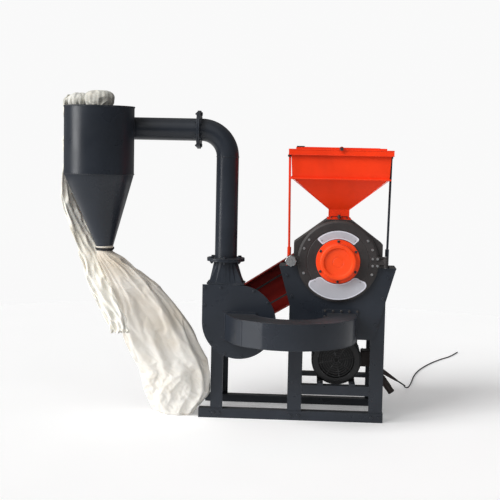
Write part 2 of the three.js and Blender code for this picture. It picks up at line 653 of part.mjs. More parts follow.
function addDuct() {
  const left = SCROLL_FRONT - 5 - GAP;
  const right = -PLATE - 2 * GAP;
  const [z0, z1] = DUCT_Z;
  const run = prism('z', ductPlan(0, right), DUCT_Z);
  const hollow = prism('z', ductPlan(2.5, right + 1), [z0 + 2.5, z1 - 2.5]);
  const flangeWidth = [DUCT_X + DUCT_INNER - 22, DUCT_X + DUCT_OUTER + 12];
  const flange = box(flangeWidth, [right - 6, right], [z0 - 16, z1 + 20]);
  const collarWidth = [DUCT_X - DUCT_OUTER - 14, DUCT_X - DUCT_INNER + 14];
  const collar = box(collarWidth, [left - 5, left], [z0 - 12, z1 + 12]);
  const behindPlate = box([DUCT_X - DUCT_OUTER - 20, DUCT_X], [left, 20], [z0 - 20, z1 + 20]);
  add('suction_duct', cut(join(run, flange, collar), hollow, behindPlate), slate);
}

function addTransition() {
  const [x0, x1] = OUTLET_X;
  const middle = [(x0 + x1) / 2, (SCROLL_FRONT - GAP) / 2];
  const bottom = BLOWER_TOP + 1;
  const top = JOINT_Z - FLANGE_T - GAP / 2;
  const segments = 24;
  const square = (halfX, halfY, z) => circlePoints([0, 0], 1, segments).map(([c, s]) => {
    const reach = Math.min(1 / Math.abs(c || 1e-9), 1 / Math.abs(s || 1e-9));
    return [middle[0] + c * reach * halfX, middle[1] + s * reach * halfY, z];
  });
  const outside = loft([square(89, 66, bottom), flatRing([PIPE_X, PIPE_Y], PIPE_R + 3, top, segments)]);
  const inside = loft([square(85, 62, bottom - 1), flatRing([PIPE_X, PIPE_Y], PIPE_R, top + 1, segments)]);
  const foot = box([x0 - 6, x1 + 6], [SCROLL_FRONT - 4, 0], [bottom, bottom + 5]);
  const flange = disc('z', [PIPE_X, PIPE_Y], FLANGE_R, [top, top + FLANGE_T], 32);
  const bore = disc('z', [PIPE_X, PIPE_Y], PIPE_R - 3, [top - 2, top + FLANGE_T + 1], 16);
  add('outlet_transition', cut(join(outside, foot, flange), inside, bore), slate);
}

function pipeRings(radius, from, to, segments) {
  const rings = [flatRing([PIPE_X, PIPE_Y], radius, from, segments)];
  for (let i = 0; i <= 7; i++) {
    const turn = (i * Math.PI) / 14;
    rings.push(circlePoints([0, 0], radius, segments).map(([u, v]) => [
      PIPE_X - ELBOW_R + (ELBOW_R + u) * Math.cos(turn), PIPE_Y + v,
      PIPE_Z - ELBOW_R + (ELBOW_R + u) * Math.sin(turn)]));
  }
  rings.push(circlePoints([0, 0], radius, segments).map(([u, v]) => [to, PIPE_Y + v, PIPE_Z + u]));
  return rings;
}

function addRiser() {
  const [low, end] = [JOINT_Z + GAP / 2, JOINT_X + GAP / 2];
  const outside = loft(pipeRings(PIPE_R, low, end, 20));
  const inside = loft(pipeRings(PIPE_R - 3, low - 1, end - 1, 10));
  const flanges = [
    disc('z', [PIPE_X, PIPE_Y], FLANGE_R, [low, low + FLANGE_T], 28),
    disc('x', [PIPE_Y, PIPE_Z], FLANGE_R, [end, end + FLANGE_T], 28),
  ];
  add('riser_pipe', cut(join(outside, ...flanges), inside), slate);
}

function addCyclone() {
  const [cx, cy] = CYCLONE;
  const shell = (inset, top, sides) => loft([
    flatRing(CYCLONE, CYCLONE_R - inset, top, sides),
    flatRing(CYCLONE, CYCLONE_R - inset, CYCLONE_SEAM, sides),
    flatRing([cx + MOUTH_SHIFT, cy], MOUTH_R - inset, MOUTH_Z, sides)]);
  const end = JOINT_X - GAP / 2;
  const inlet = disc('x', [PIPE_Y, PIPE_Z], PIPE_R, [cx + 60, end], 24);
  const inletBore = disc('x', [PIPE_Y, PIPE_Z], PIPE_R - 3, [cx + 60, end + 1], 14);
  const flange = disc('x', [PIPE_Y, PIPE_Z], FLANGE_R, [end - FLANGE_T, end], 28);
  const finder = ring('z', CYCLONE, NECK_R, NECK_R - 2.5, [CYCLONE_TOP - 170, NECK_TOP], 20);
  const neckBore = disc('z', CYCLONE, NECK_R - 2.5, [CYCLONE_TOP - 171, NECK_TOP + 1], 20);
  const lid = disc('z', CYCLONE, CYCLONE_R + 3, [CYCLONE_TOP - 4, CYCLONE_TOP], 32);
  const outside = join(shell(0, CYCLONE_TOP, 32), inlet, flange, lid);
  const inside = join(shell(4, CYCLONE_TOP - 4, 20), inletBore);
  add('cyclone', join(cut(outside, inside, neckBore), finder), slate);
}

// ---------------------------------------------------------------- hopper
function addHopper() {
  const centre = [0, HOPPER_Y];
  const skin = 3;
  const bin = (inset, up) => join(
    loft([
      rectangle(centre, 246 - inset, 178 - inset, 1280),
      rectangle(centre, 254 - inset, 188 - inset, RIM_Z + up),
    ]),
    loft([
      rectangle(centre, NECK_HALF - inset, NECK_HALF - inset, 1116),
      rectangle(centre, 246 - inset, 178 - inset, 1280),
    ]),
    box([-NECK_HALF + inset, NECK_HALF - inset],
      [HOPPER_Y - NECK_HALF + inset, HOPPER_Y + NECK_HALF - inset],
      [MILL_Z + HOUSING_TOP + GAP - up, 1118]));
  const rim = join(
    box([-265, 265], [HOPPER_Y - 203, HOPPER_Y + 203], [RIM_Z - 30, RIM_Z]),
    box([-253, 253], [HOPPER_Y - 191, HOPPER_Y + 191], [1272, 1280]));
  const foot = box([-THROAT_HALF, THROAT_HALF], [HOPPER_Y - 68, HOPPER_Y + 68],
    [MILL_Z + HOUSING_TOP + GAP, MILL_Z + HOUSING_TOP + 6]);
  const rimHollow = box([-262, 262], [HOPPER_Y - 200, HOPPER_Y + 200], [RIM_Z - 31, RIM_Z - 3]);
  const whole = join(bin(0, 0), cut(rim, rimHollow), foot);
  const slot = box([-44, 44], [HOPPER_Y - 60, HOPPER_Y], [GATE_Z - 0.4, GATE_Z + 3.4]);
  const pivots = [-150, 150].map((x) => disc('x', [HOPPER_Y + 211, RIM_Z + 4], 7, [x - 20, x + 20], 12));
  const hangers = [-150, 150].map((x) =>
    box([x - 20, x + 20], [HOPPER_Y + 200, HOPPER_Y + 211], [RIM_Z - 22, RIM_Z + 2]));
  const bores = disc('x', [HOPPER_Y + 211, RIM_Z + 4], 3.35, [-200, 200], 12);
  add('hopper', cut(join(whole, ...pivots, ...hangers), bin(skin, 1), slot, bores), orange);

  const gate = join(
    box([-43, 43], [HOPPER_Y - 48, HOPPER_Y + 46], [GATE_Z, GATE_Z + 3]),
    box([-14, 14], [HOPPER_Y - 80, HOPPER_Y - 40], [GATE_Z, GATE_Z + 3]),
    bar([0, HOPPER_Y - 76, GATE_Z - 8], [0, HOPPER_Y - 76, GATE_Z + 12], 7));
  add('feed_gate', gate, steel);

  const lidZ = RIM_Z + GAP;
  const panel = join(
    box([-229, 229], [HOPPER_Y - 190, HOPPER_Y + 196], [lidZ, lidZ + 9]),
    ...[-150, 150].map((x) => box([x - 60, x - 21], [HOPPER_Y + 190, HOPPER_Y + 211], [lidZ + 1, lidZ + 9])),
    ...[-150, 150].map((x) => disc('x', [HOPPER_Y + 211, RIM_Z + 4], 6.5, [x - 60, x - 21], 12)));
  const knob = bar([0, HOPPER_Y - 205, RIM_Z + 5], [0, HOPPER_Y - 188, RIM_Z + 5], 4);
  const head = bar([0, HOPPER_Y - 219, RIM_Z + 4], [0, HOPPER_Y - 203.5, RIM_Z + 4], 11, 14);
  const pinHole = disc('x', [HOPPER_Y + 211, RIM_Z + 4], 3.35, [-220, 200], 12);
  add('hopper_lid', cut(join(panel, knob, head), pinHole), orange);

  add('lid_hinge_pin', disc('x', [HOPPER_Y + 211, RIM_Z + 4], 3, [-212, 172], 12), steel);

  for (const [name, side] of [['hopper_stay_left', -1], ['hopper_stay_right', 1]]) {
    const rod = bar([side * 254, 32, HOOD_TOP + 3], [side * 262, 32, RIM_Z - 30.5], 6, 12);
    const foot = box([side * 254 - 14, side * 254 + 14], [14, 50], [HOOD_TOP + GAP, HOOD_TOP + 6]);
    const sleeve = bar([side * 254, 32, HOOD_TOP + 4], [side * 254.4, 32, HOOD_TOP + 96], 10, 12);
    add(name, join(rod, foot, sleeve), side < 0 ? orange : slate);
  }
}

// ---------------------------------------------------------------- cloth
// Sections of the collecting sack, top to bottom: centre X and Y, height, half width, half depth.
const SACK = [
  [-1186, -190, MOUTH_Z - GAP, 37, 37], [-1109, -184, 830, 86, 62], [-1060, -165, 760, 110, 76],
  [-1014, -135, 680, 139, 90], [-970, -108, 590, 174, 100], [-945, -84, 507, 191, 108],
  [-921, -55, 418, 197, 112], [-877, -20, 322, 196, 112], [-851, 4, 255, 190, 110],
  [-843, 22, 198, 183, 108], [-838, 42, 133, 172, 104],
  [-848, 60, 60, 130, 88], [-846, 68, 20, 96, 70], [-844, 72, 3, 62, 46],
];

function addSack() {
  const rings = SACK.map(([x, y, z, halfX, halfY]) => circlePoints([0, 0], 1, 18).map(([c, s]) => (
    [x + halfX * c, y + halfY * s, z])));
  add('collecting_sack', loft(rings), cloth);
}

// The filter sock: a cap over the cyclone's outlet and a flat tube hanging behind its left side.
// Sections of the tube: centre X and Y, height, half width, half thickness, heading.
const SOCK_TUBE = [
  [-1366, -95, 1676, 36, 14, 55], [-1384, -76, 1645, 55, 19, 55], [-1385, -74, 1500, 55, 20, 55],
  [-1385, -74, 1300, 55, 20, 55], [-1382, -80, 1142, 54, 20, 50], [-1336, -100, 1010, 52, 20, 35],
  [-1280, -125, 885, 50, 20, 20], [-1244, -160, 785, 54, 20, 10], [-1206, -190, 700, 56, 19, 5],
  [-1150, -222, 610, 57, 18, 0], [-1112, -234, 530, 50, 16, 0], [-1096, -238, 490, 44, 14, 0],
];

// The sock is gathered over the outlet tube and bunched beside it: height and two half widths.
const SOCK_GATHER = [[1622, 66, 66], [1640, 73, 73], [1672, 75, 75], [1690, 60, 60], [1699, 34, 34]];
const SOCK_BUNCH = [[1618.5, 52, 48], [1636, 60, 56], [1662, 59, 55], [1680, 46, 42], [1688, 24, 22]];

function addSock() {
  const tube = loft(SOCK_TUBE.map(([x, y, z, wide, thick, degrees]) => {
    const heading = THREE.MathUtils.degToRad(degrees);
    const [c, s] = [Math.cos(heading), Math.sin(heading)];
    return circlePoints([0, 0], 1, 16).map(([u, v]) => [
      x + wide * u * c - thick * v * s, y + wide * u * s + thick * v * c, z]);
  }));
  const lobe = (sections, [x, y]) => loft(sections.map(([z, halfX, halfY]) => (
    circlePoints([0, 0], 1, 20).map(([u, v]) => [x + halfX * u, y + halfY * v, z]))));
  const outlet = disc('z', CYCLONE, NECK_R + 1, [CYCLONE_TOP, NECK_TOP + GAP], 24);
  const cap = join(lobe(SOCK_GATHER, CYCLONE), lobe(SOCK_BUNCH, [-1330, -142]));
  add('filter_sock', cut(join(tube, cap), outlet), cloth);
}

addStand();
addHood();
addHousing();
addDoor();
addClamp();
addRotor();
addMillBearing();
addMotor();
addTerminalBox();
addCable();
addMillDrive();
addBlower();
addDuct();
addTransition();
addRiser();
addCyclone();
addHopper();
addSack();
addSock();

export default machine;
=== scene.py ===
"""Looks for a belt-driven hammer mill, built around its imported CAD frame. Units are metres.

+Z is up and -Y is the operator's side. Every place comes from the CAD nodes' boxes, or from the
dimensions named below, which repeat the CAD design's own.
"""
import math

import bmesh
import bpy
from mathutils import Matrix, Vector, noise
from mathutils.geometry import tessellate_polygon


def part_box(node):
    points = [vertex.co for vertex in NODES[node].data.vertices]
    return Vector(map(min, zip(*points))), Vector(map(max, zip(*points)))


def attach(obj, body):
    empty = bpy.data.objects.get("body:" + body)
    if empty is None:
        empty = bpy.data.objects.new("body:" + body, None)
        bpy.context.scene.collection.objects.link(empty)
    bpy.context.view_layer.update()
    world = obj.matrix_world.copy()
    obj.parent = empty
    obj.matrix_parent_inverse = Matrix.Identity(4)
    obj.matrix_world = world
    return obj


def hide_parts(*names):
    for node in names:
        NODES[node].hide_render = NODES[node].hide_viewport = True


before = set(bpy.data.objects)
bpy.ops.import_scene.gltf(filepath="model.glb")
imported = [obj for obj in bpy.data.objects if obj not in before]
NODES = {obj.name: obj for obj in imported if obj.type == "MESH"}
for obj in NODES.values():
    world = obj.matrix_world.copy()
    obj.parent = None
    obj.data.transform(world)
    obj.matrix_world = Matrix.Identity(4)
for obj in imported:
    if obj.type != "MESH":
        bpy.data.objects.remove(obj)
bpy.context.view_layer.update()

TAU = 2 * math.pi


def axis_of(node):
    """X and Z of a node that turns about a line along Y."""
    low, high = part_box(node)
    middle = (low + high) / 2
    return middle.x, middle.z


# ------------------------------------------------------------------ driving dimensions
MILL_X, MILL_Z = axis_of("mill_shaft")
MOTOR_X, MOTOR_Z = axis_of("motor_shaft")
FAN_X, FAN_Z = axis_of("blower_shaft")
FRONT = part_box("left_leg_frame")[0].y  # the stand's front face
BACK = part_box("left_leg_frame")[1].y
PLATE = 0.006

DOOR_R = 0.211
DOOR_FRONT = FRONT - 0.031
DOOR_BACK = FRONT - 0.014
CAP_FLANGE_R = 0.114
CAP_BOSS_R = 0.093

PIPE_R = 0.057
PIPE_X = MILL_X - 0.5775
PIPE_Y = FRONT - 0.072
PIPE_Z = 1.512
ELBOW_R = 0.135
FLANGE_R = 0.097
FLANGE_T = 0.008
JOINT_Z = 0.852
JOINT_X = MILL_X - 0.726

CYCLONE_X = MILL_X - 1.219
CYCLONE_Y = FRONT - 0.190
CYCLONE_R = 0.176
CYCLONE_TOP = 1.618
CYCLONE_SEAM = 1.279
MOUTH_Z = 0.892
MOUTH_R = 0.0395
MOUTH_SHIFT = 0.033
NECK_R = 0.060
NECK_TOP = 1.662

PLATE_R = 0.190  # blower front plate
SCROLL_R = 0.172
SCROLL_FRONT = FRONT - 0.135
SCROLL_LEFT = MILL_X - 0.662
SCROLL_RIGHT = MILL_X - 0.484
BLOWER_TOP = 0.726

DUCT_X = MILL_X - 0.2375
DUCT_Y = FRONT - 0.100
DUCT_OUTER = 0.3375
DUCT_INNER = 0.1875
DUCT_FOLDS = (214.5, 226.0, 246.5)  # where the outer wall's flat panels meet, in degrees
DUCT_LOW = 0.448
DUCT_HIGH = 0.578

GUARD_HALF = 0.123
GUARD_BLOWER_HALF = 0.112
GUARD_FRONT = FRONT + 0.398
BLOWER_BELT_Y = FRONT + 0.418
DRIVE_BELT_Y = FRONT + 0.450
GROOVE_HALF_GAP = 0.0082
MILL_SHEAVE_R = 0.0625
MOTOR_SHEAVE_R = 0.075
FAN_SHEAVE_R = 0.055

MOTOR_R = 0.132
MOTOR_FEET_X = (MOTOR_X - 0.084, MOTOR_X + 0.084)

HOPPER_Y = FRONT + 0.075
HOPPER_TOP = 1.425
HOPPER_SKIRT_Z = 1.276
HOPPER_NECK_Z = 1.116
LID_TOP = HOPPER_TOP + 0.0093

CLEARANCE = 0.0003  # gap between pieces that lie on each other
FORWARD, REARWARD, UP = (0, -1, 0), (0, 1, 0), (0, 0, 1)

MILL = (MILL_X, MILL_Z)
MOTOR = (MOTOR_X, MOTOR_Z)
FAN = (FAN_X, FAN_Z)

# ------------------------------------------------------------------ light
SURROUNDINGS = 0.20
BACKDROP = 0.95
FLOOR_R = 4.5
FLOOR_GLOW = 0.22
# each soft light: where its rays go, its strength and its width in degrees
SUNS = [
    ("key", (0.60, 0.52, -0.61), 2.1, 30),
    ("side", (0.93, 0.32, -0.16), 1.9, 30),
    ("fill", (0.10, 0.75, -0.65), 0.5, 60),
]


# ------------------------------------------------------------------ camera
LENS = 79.2
CAMERA_PLACE = (0.3972, -5.722, 1.4148)
CAMERA_RIGHT = (0.998215, 0.055962, 0.020856)
CAMERA_FORWARD = (-0.053856, 0.994427, -0.090633)


def add_camera():
    data = bpy.data.cameras.new("camera")
    data.lens = LENS
    data.sensor_width = 36
    data.clip_end = 50
    camera = bpy.data.objects.new("camera", data)
    right, forward = Vector(CAMERA_RIGHT), Vector(CAMERA_FORWARD)
    turn = Matrix((right, right.cross(forward), -forward)).transposed().to_4x4()
    camera.matrix_world = Matrix.Translation(CAMERA_PLACE) @ turn
    bpy.context.scene.collection.objects.link(camera)
    bpy.context.scene.camera = camera


# ------------------------------------------------------------------ node materials
class Nodes:
    """A short way to build a node tree."""

    def __init__(self, name):
        self.material = bpy.data.materials.new(name)
        self.material.use_nodes = True
        self.tree = self.material.node_tree
        self.shader = self.tree.nodes["Principled BSDF"]
        self.place = self.add("ShaderNodeTexCoord").outputs["Object"]

    def add(self, kind, inputs=None, **settings):
        node = self.tree.nodes.new(kind)
        for key, value in settings.items():
            setattr(node, key, value)
        for key, value in (inputs or {}).items():
            self.put(node.inputs[key], value)
        return node

    def put(self, socket, value):
        if isinstance(value, bpy.types.NodeSocket):
            self.tree.links.new(value, socket)
        else:
            socket.default_value = value

    def noise(self, scale, detail=3, rough=0.55, place=None):
        node = self.add("ShaderNodeTexNoise", {"Vector": place or self.place, "Scale": scale,
                                               "Detail": detail, "Roughness": rough})
        return node.outputs["Fac"]

    def stretched(self, factors):
        node = self.add("ShaderNodeVectorMath", {0: self.place, 1: factors}, operation="MULTIPLY")
        return node.outputs[0]

    def ramp(self, value, low, high, bottom=0.0, top=1.0):
        node = self.add("ShaderNodeMapRange", {"Value": value, "From Min": low, "From Max": high,
                                               "To Min": bottom, "To Max": top})
        return node.outputs[0]

    def maths(self, operation, first, second=0.5):
        return self.add("ShaderNodeMath", {0: first, 1: second}, operation=operation).outputs[0]

    def mix(self, share, first, second):
        node = self.add("ShaderNodeMix", data_type="RGBA")
        self.put(node.inputs["Factor"], share)
        self.put(node.inputs[6], first)
        self.put(node.inputs[7], second)
        return node.outputs[2]

    def upward(self):
        """From 0 on a wall to 1 on a face that looks up."""
        normal = self.add("ShaderNodeNewGeometry").outputs["Normal"]
        height = self.add("ShaderNodeSeparateXYZ", {0: normal}).outputs["Z"]
        return self.ramp(height, 0.35, 0.95)

    def edges(self, radius):
        """1 where two faces meet sharply, by comparing a rounded normal with the true one."""
        rounded = self.add("ShaderNodeBevel", {"Radius": radius}, samples=3).outputs["Normal"]
        normal = self.add("ShaderNodeNewGeometry").outputs["Normal"]
        node = self.add("ShaderNodeVectorMath", {0: rounded, 1: normal}, operation="DOT_PRODUCT")
        return self.ramp(node.outputs["Value"], 0.97, 0.80)

    def settled_dust(self, scale, low, least=0.0):
        """How much dust lies here: only on faces that look up, in patches."""
        patches = self.ramp(self.noise(scale, 5), low, 0.8, least, 1.0)
        return self.maths("MULTIPLY", self.upward(), patches)

    def rubbed_edges(self, radius, scale, detail, low, high):
        """How far an edge is worn to the metal, in patches."""
        patches = self.ramp(self.noise(scale, detail), low, high)
        return self.maths("MULTIPLY", self.edges(radius), patches)

    def blend(self, mask, strength, body, colour):
        return self.mix(self.maths("MULTIPLY", mask, strength), body, colour)

    def bump(self, *layers):
        """Layers of (height, strength, distance), one on another."""
        normal = None
        for height, strength, distance in layers:
            node = self.add("ShaderNodeBump", {"Height": height, "Strength": strength,
                                               "Distance": distance})
            if normal:
                self.put(node.inputs["Normal"], normal)
            normal = node.outputs["Normal"]
        self.put(self.shader.inputs["Normal"], normal)

    def finish(self, colour, roughness, metallic=0.0, **more):
        self.put(self.shader.inputs["Base Color"], colour)
        self.put(self.shader.inputs["Roughness"], roughness)
        self.put(self.shader.inputs["Metallic"], metallic)
        for key, value in more.items():
            self.put(self.shader.inputs[key.replace("_", " ")], value)
        return self.material


def rgb(*display):
    """A colour as linear light from display values out of 255."""
    light = [((v / 255 + 0.055) / 1.055) ** 2.4 if v > 10 else v / 3294.6 for v in display]
    return (*light, 1)


def shaded(colour, times, plus=0.0):
    return (*[min(1, times * v + plus) for v in colour[:3]], 1)


def painted(name, colour, worn, roughness, dust, gloss=0.4):
    """Sprayed enamel: faint orange peel, streaks of handling, chipped edges and settled milling dust."""
    n = Nodes(name)
    streaks = n.noise(2.0, 4, place=n.stretched((9.0, 9.0, 1.1)))
    body = n.mix(n.ramp(n.noise(3.1, 5), 0.3, 0.7), shaded(colour, 0.78), shaded(colour, 1.25, 0.003))
    body = n.mix(n.ramp(streaks, 0.35, 0.75, 0, 0.5), body, colour)
    body = n.blend(n.rubbed_edges(0.0016, 46, 4, 0.50, 0.62), 0.75, body, worn)
    settled = n.settled_dust(14, 0.35, 0.35)
    body = n.blend(settled, dust, body, rgb(188, 180, 164))
    rough = n.ramp(n.noise(7.5, 4), 0.25, 0.75, roughness - 0.07, roughness + 0.10)
    rough = n.maths("ADD", rough, n.maths("MULTIPLY", settled, 0.30))
    n.bump((n.noise(330, 2), 0.05, 0.0006), (n.noise(28, 3), 0.05, 0.004))
    return n.finish(body, rough, Specular_IOR_Level=gloss)


def casting(name, colour, roughness=0.46):
    """Painted sand casting: a pebbled skin and rubbed high spots."""
    n = Nodes(name)
    pebbles = n.noise(240, 5, 0.62)
    body = n.mix(n.ramp(n.noise(9, 5), 0.3, 0.75), colour, shaded(colour, 1.5, 0.005))
    rubbed = n.rubbed_edges(0.002, 60, 3, 0.42, 0.6)
    body = n.blend(rubbed, 0.8, body, rgb(150, 150, 148))
    body = n.blend(n.settled_dust(20, 0.35), 0.2, body, rgb(180, 172, 158))
    n.bump((pebbles, 0.28, 0.0012), (n.noise(34, 3), 0.12, 0.003))
    rough = n.ramp(pebbles, 0.3, 0.7, roughness - 0.08, roughness + 0.12)
    return n.finish(body, rough, n.maths("MULTIPLY", rubbed, 0.8), Specular_IOR_Level=0.3)


def machined(name, colour, roughness=0.30, grime=0.35):
    """Turned or ground steel: fine tool marks, a little oil and brown staining."""
    n = Nodes(name)
    marks = n.noise(420, 2)
    stain = n.ramp(n.noise(16, 6), 0.5, 0.78, 0, grime)
    body = n.mix(n.ramp(n.noise(6, 3), 0.3, 0.7), colour, shaded(colour, 0.8))
    body = n.mix(stain, body, rgb(92, 76, 60))
    n.bump((marks, 0.12, 0.0004), (n.noise(90, 3), 0.05, 0.001))
    rough = n.ramp(marks, 0.3, 0.7, roughness - 0.08, roughness + 0.14)
    return n.finish(body, rough, n.maths("SUBTRACT", 1.0, stain))


def moulded(name, colour, roughness, grain_scale, grain):
    """Moulded plastic or rubber with a fine eroded skin."""
    n = Nodes(name)
    body = n.mix(n.ramp(n.noise(11, 5), 0.35, 0.75), colour, shaded(colour, 1.5, 0.006))
    body = n.blend(n.settled_dust(18, 0.4), 0.25, body, rgb(150, 144, 132))
    n.bump((n.noise(grain_scale, 3), grain, 0.0006))
    rough = n.ramp(n.noise(20, 3), 0.3, 0.7, roughness - 0.06, roughness + 0.08)
    return n.finish(body, rough, Specular_IOR_Level=0.3)


def woven(name, colour, shade, soil, painted_shade_strength):
    """Plain-woven cotton: threads over and under in the cloth's own plane. On the sack a tan painted shade
    darkens the cloth from 0.36 m to 0.95 m up, in patches, and grey dust lies on the cloth above the
    cyclone."""
    n = Nodes(name)
    uv = n.add("ShaderNodeTexCoord").outputs["UV"]
    threads = []
    for turn in (0.0, math.pi / 2):
        turned = n.add("ShaderNodeVectorRotate", {"Vector": uv, "Angle": turn}, rotation_type="Z_AXIS")
        wave = n.add("ShaderNodeTexWave", {"Vector": turned.outputs[0], "Scale": 240.0,
                                           "Distortion": 0.6, "Detail": 1.0, "Detail Scale": 2.0})
        threads.append(wave.outputs["Fac"])
    drawn_out = n.add("ShaderNodeVectorMath", {0: uv, 1: (1, 9, 1)}, operation="MULTIPLY")
    slub = n.noise(60, 3, place=drawn_out.outputs[0])
    body = n.mix(n.ramp(n.noise(5, 5), 0.35, 0.72), colour, shade)
    body = n.mix(n.ramp(n.noise(2.6, 6), 0.52, 0.78, 0, 0.55), body, soil)
    height = n.add("ShaderNodeSeparateXYZ", {0: n.place}).outputs["Z"]
    patchy = n.ramp(n.noise(6.5, 5), 0.25, 0.75, 0.35, 1.0)
    # Painted shade: a tan over the sack's upper part, from 0.36 m up to 0.95 m, in patches; its strength is
    # the last value of the cloth's recipe.
    painted_shade_band = n.maths("MULTIPLY", n.ramp(height, 0.36, 0.60), n.ramp(height, 0.95, 0.85))
    body = n.blend(n.maths("MULTIPLY", painted_shade_band, patchy), painted_shade_strength, body, rgb(172, 150, 120))
    dusty = n.maths("MULTIPLY", n.ramp(height, 1.60, 1.63), patchy)
    body = n.blend(dusty, 0.62, body, rgb(126, 128, 120))
    body = n.mix(n.ramp(slub, 0.55, 0.75, 0, 0.25), body, shade)
    weave = n.maths("MAXIMUM", *threads)
    n.bump((weave, 0.35, 0.0005), (slub, 0.25, 0.0008), (n.noise(38, 5), 0.30, 0.004))
    return n.finish(body, 0.93, Sheen_Weight=0.25, Sheen_Roughness=0.6, Subsurface_Weight=0.12,
                    Subsurface_Radius=(0.01, 0.008, 0.006), Subsurface_Scale=0.5)


def make_materials():
    bare = rgb(120, 122, 124)
    primer = rgb(150, 60, 40)
    recipes = {
        "slate_paint": (painted, rgb(33, 38, 46), bare, 0.30, 0.06, 0.34),
        "orange_paint": (painted, rgb(242, 56, 14), primer, 0.38, 0.05, 0.2),
        # The belt guard is orange like the hopper; this dark red is a shaded copy of it, painted shade for
        # the guard's shaded inside.
        "guard_paint": (painted, rgb(118, 18, 10), primer, 0.45, 0.06, 0.2),
        "cap_orange_paint": (painted, rgb(248, 70, 22), primer, 0.36, 0.04, 0.25),
        "silver_paint": (painted, rgb(206, 207, 216), bare, 0.40, 0.10),
        "grey_field": (painted, rgb(176, 177, 184), bare, 0.48, 0.10),
        "motor_paint": (painted, rgb(15, 16, 18), bare, 0.42, 0.07),
        "cast_iron": (casting, rgb(43, 40, 40)),
        "bright_steel": (machined, rgb(176, 178, 180)),
        "belt_rubber": (moulded, rgb(22, 22, 23), 0.78, 260, 0.3),
        "cable_rubber": (moulded, rgb(26, 26, 28), 0.60, 400, 0.12),
        "dark_plastic": (moulded, rgb(40, 31, 29), 0.45, 300, 0.15),
        # The last value sets the tan painted shade on the sack's upper part; the sock has none.
        "woven_cloth": (woven, rgb(226, 224, 219), rgb(214, 208, 197), rgb(190, 172, 142), 0.36),
        "sock_cloth": (woven, rgb(234, 232, 224), rgb(224, 219, 207), rgb(202, 190, 166), 0.0),
    }
    return {name: recipe(name, *values) for name, (recipe, *values) in recipes.items()}


# ------------------------------------------------------------------ shapes
def ring_points(centre, radius, sides, start=0.0, end=360.0):
    """Points of an arc in a plane, degrees anticlockwise; a whole turn doesn't repeat its start."""
    whole = abs(end - start) >= 360
    count = sides if whole else sides + 1
    step = math.radians(end - start) / sides
    first = math.radians(start)
    return [(centre[0] + radius * math.cos(first + i * step),
             centre[1] + radius * math.sin(first + i * step)) for i in range(count)]


def polar(centre, radius, degrees):
    turn = math.radians(degrees)
    return centre[0] + radius * math.cos(turn), centre[1] + radius * math.sin(turn)


PLACING = {
    "x": lambda u, v, t: Vector((t, u, v)),
    "y": lambda u, v, t: Vector((u, t, v)),
    "z": lambda u, v, t: Vector((u, v, t)),
}


def circle_path(axis, centre, radius, along, sides=96):
    return [PLACING[axis](u, v, along) for u, v in ring_points(centre, radius, sides)]


def across(along):
    """Two directions at right angles to a direction and to each other."""
    side = along.cross(Vector((0, 0, 1) if abs(along.z) < 0.9 else (1, 0, 0))).normalized()
    return side, along.cross(side)


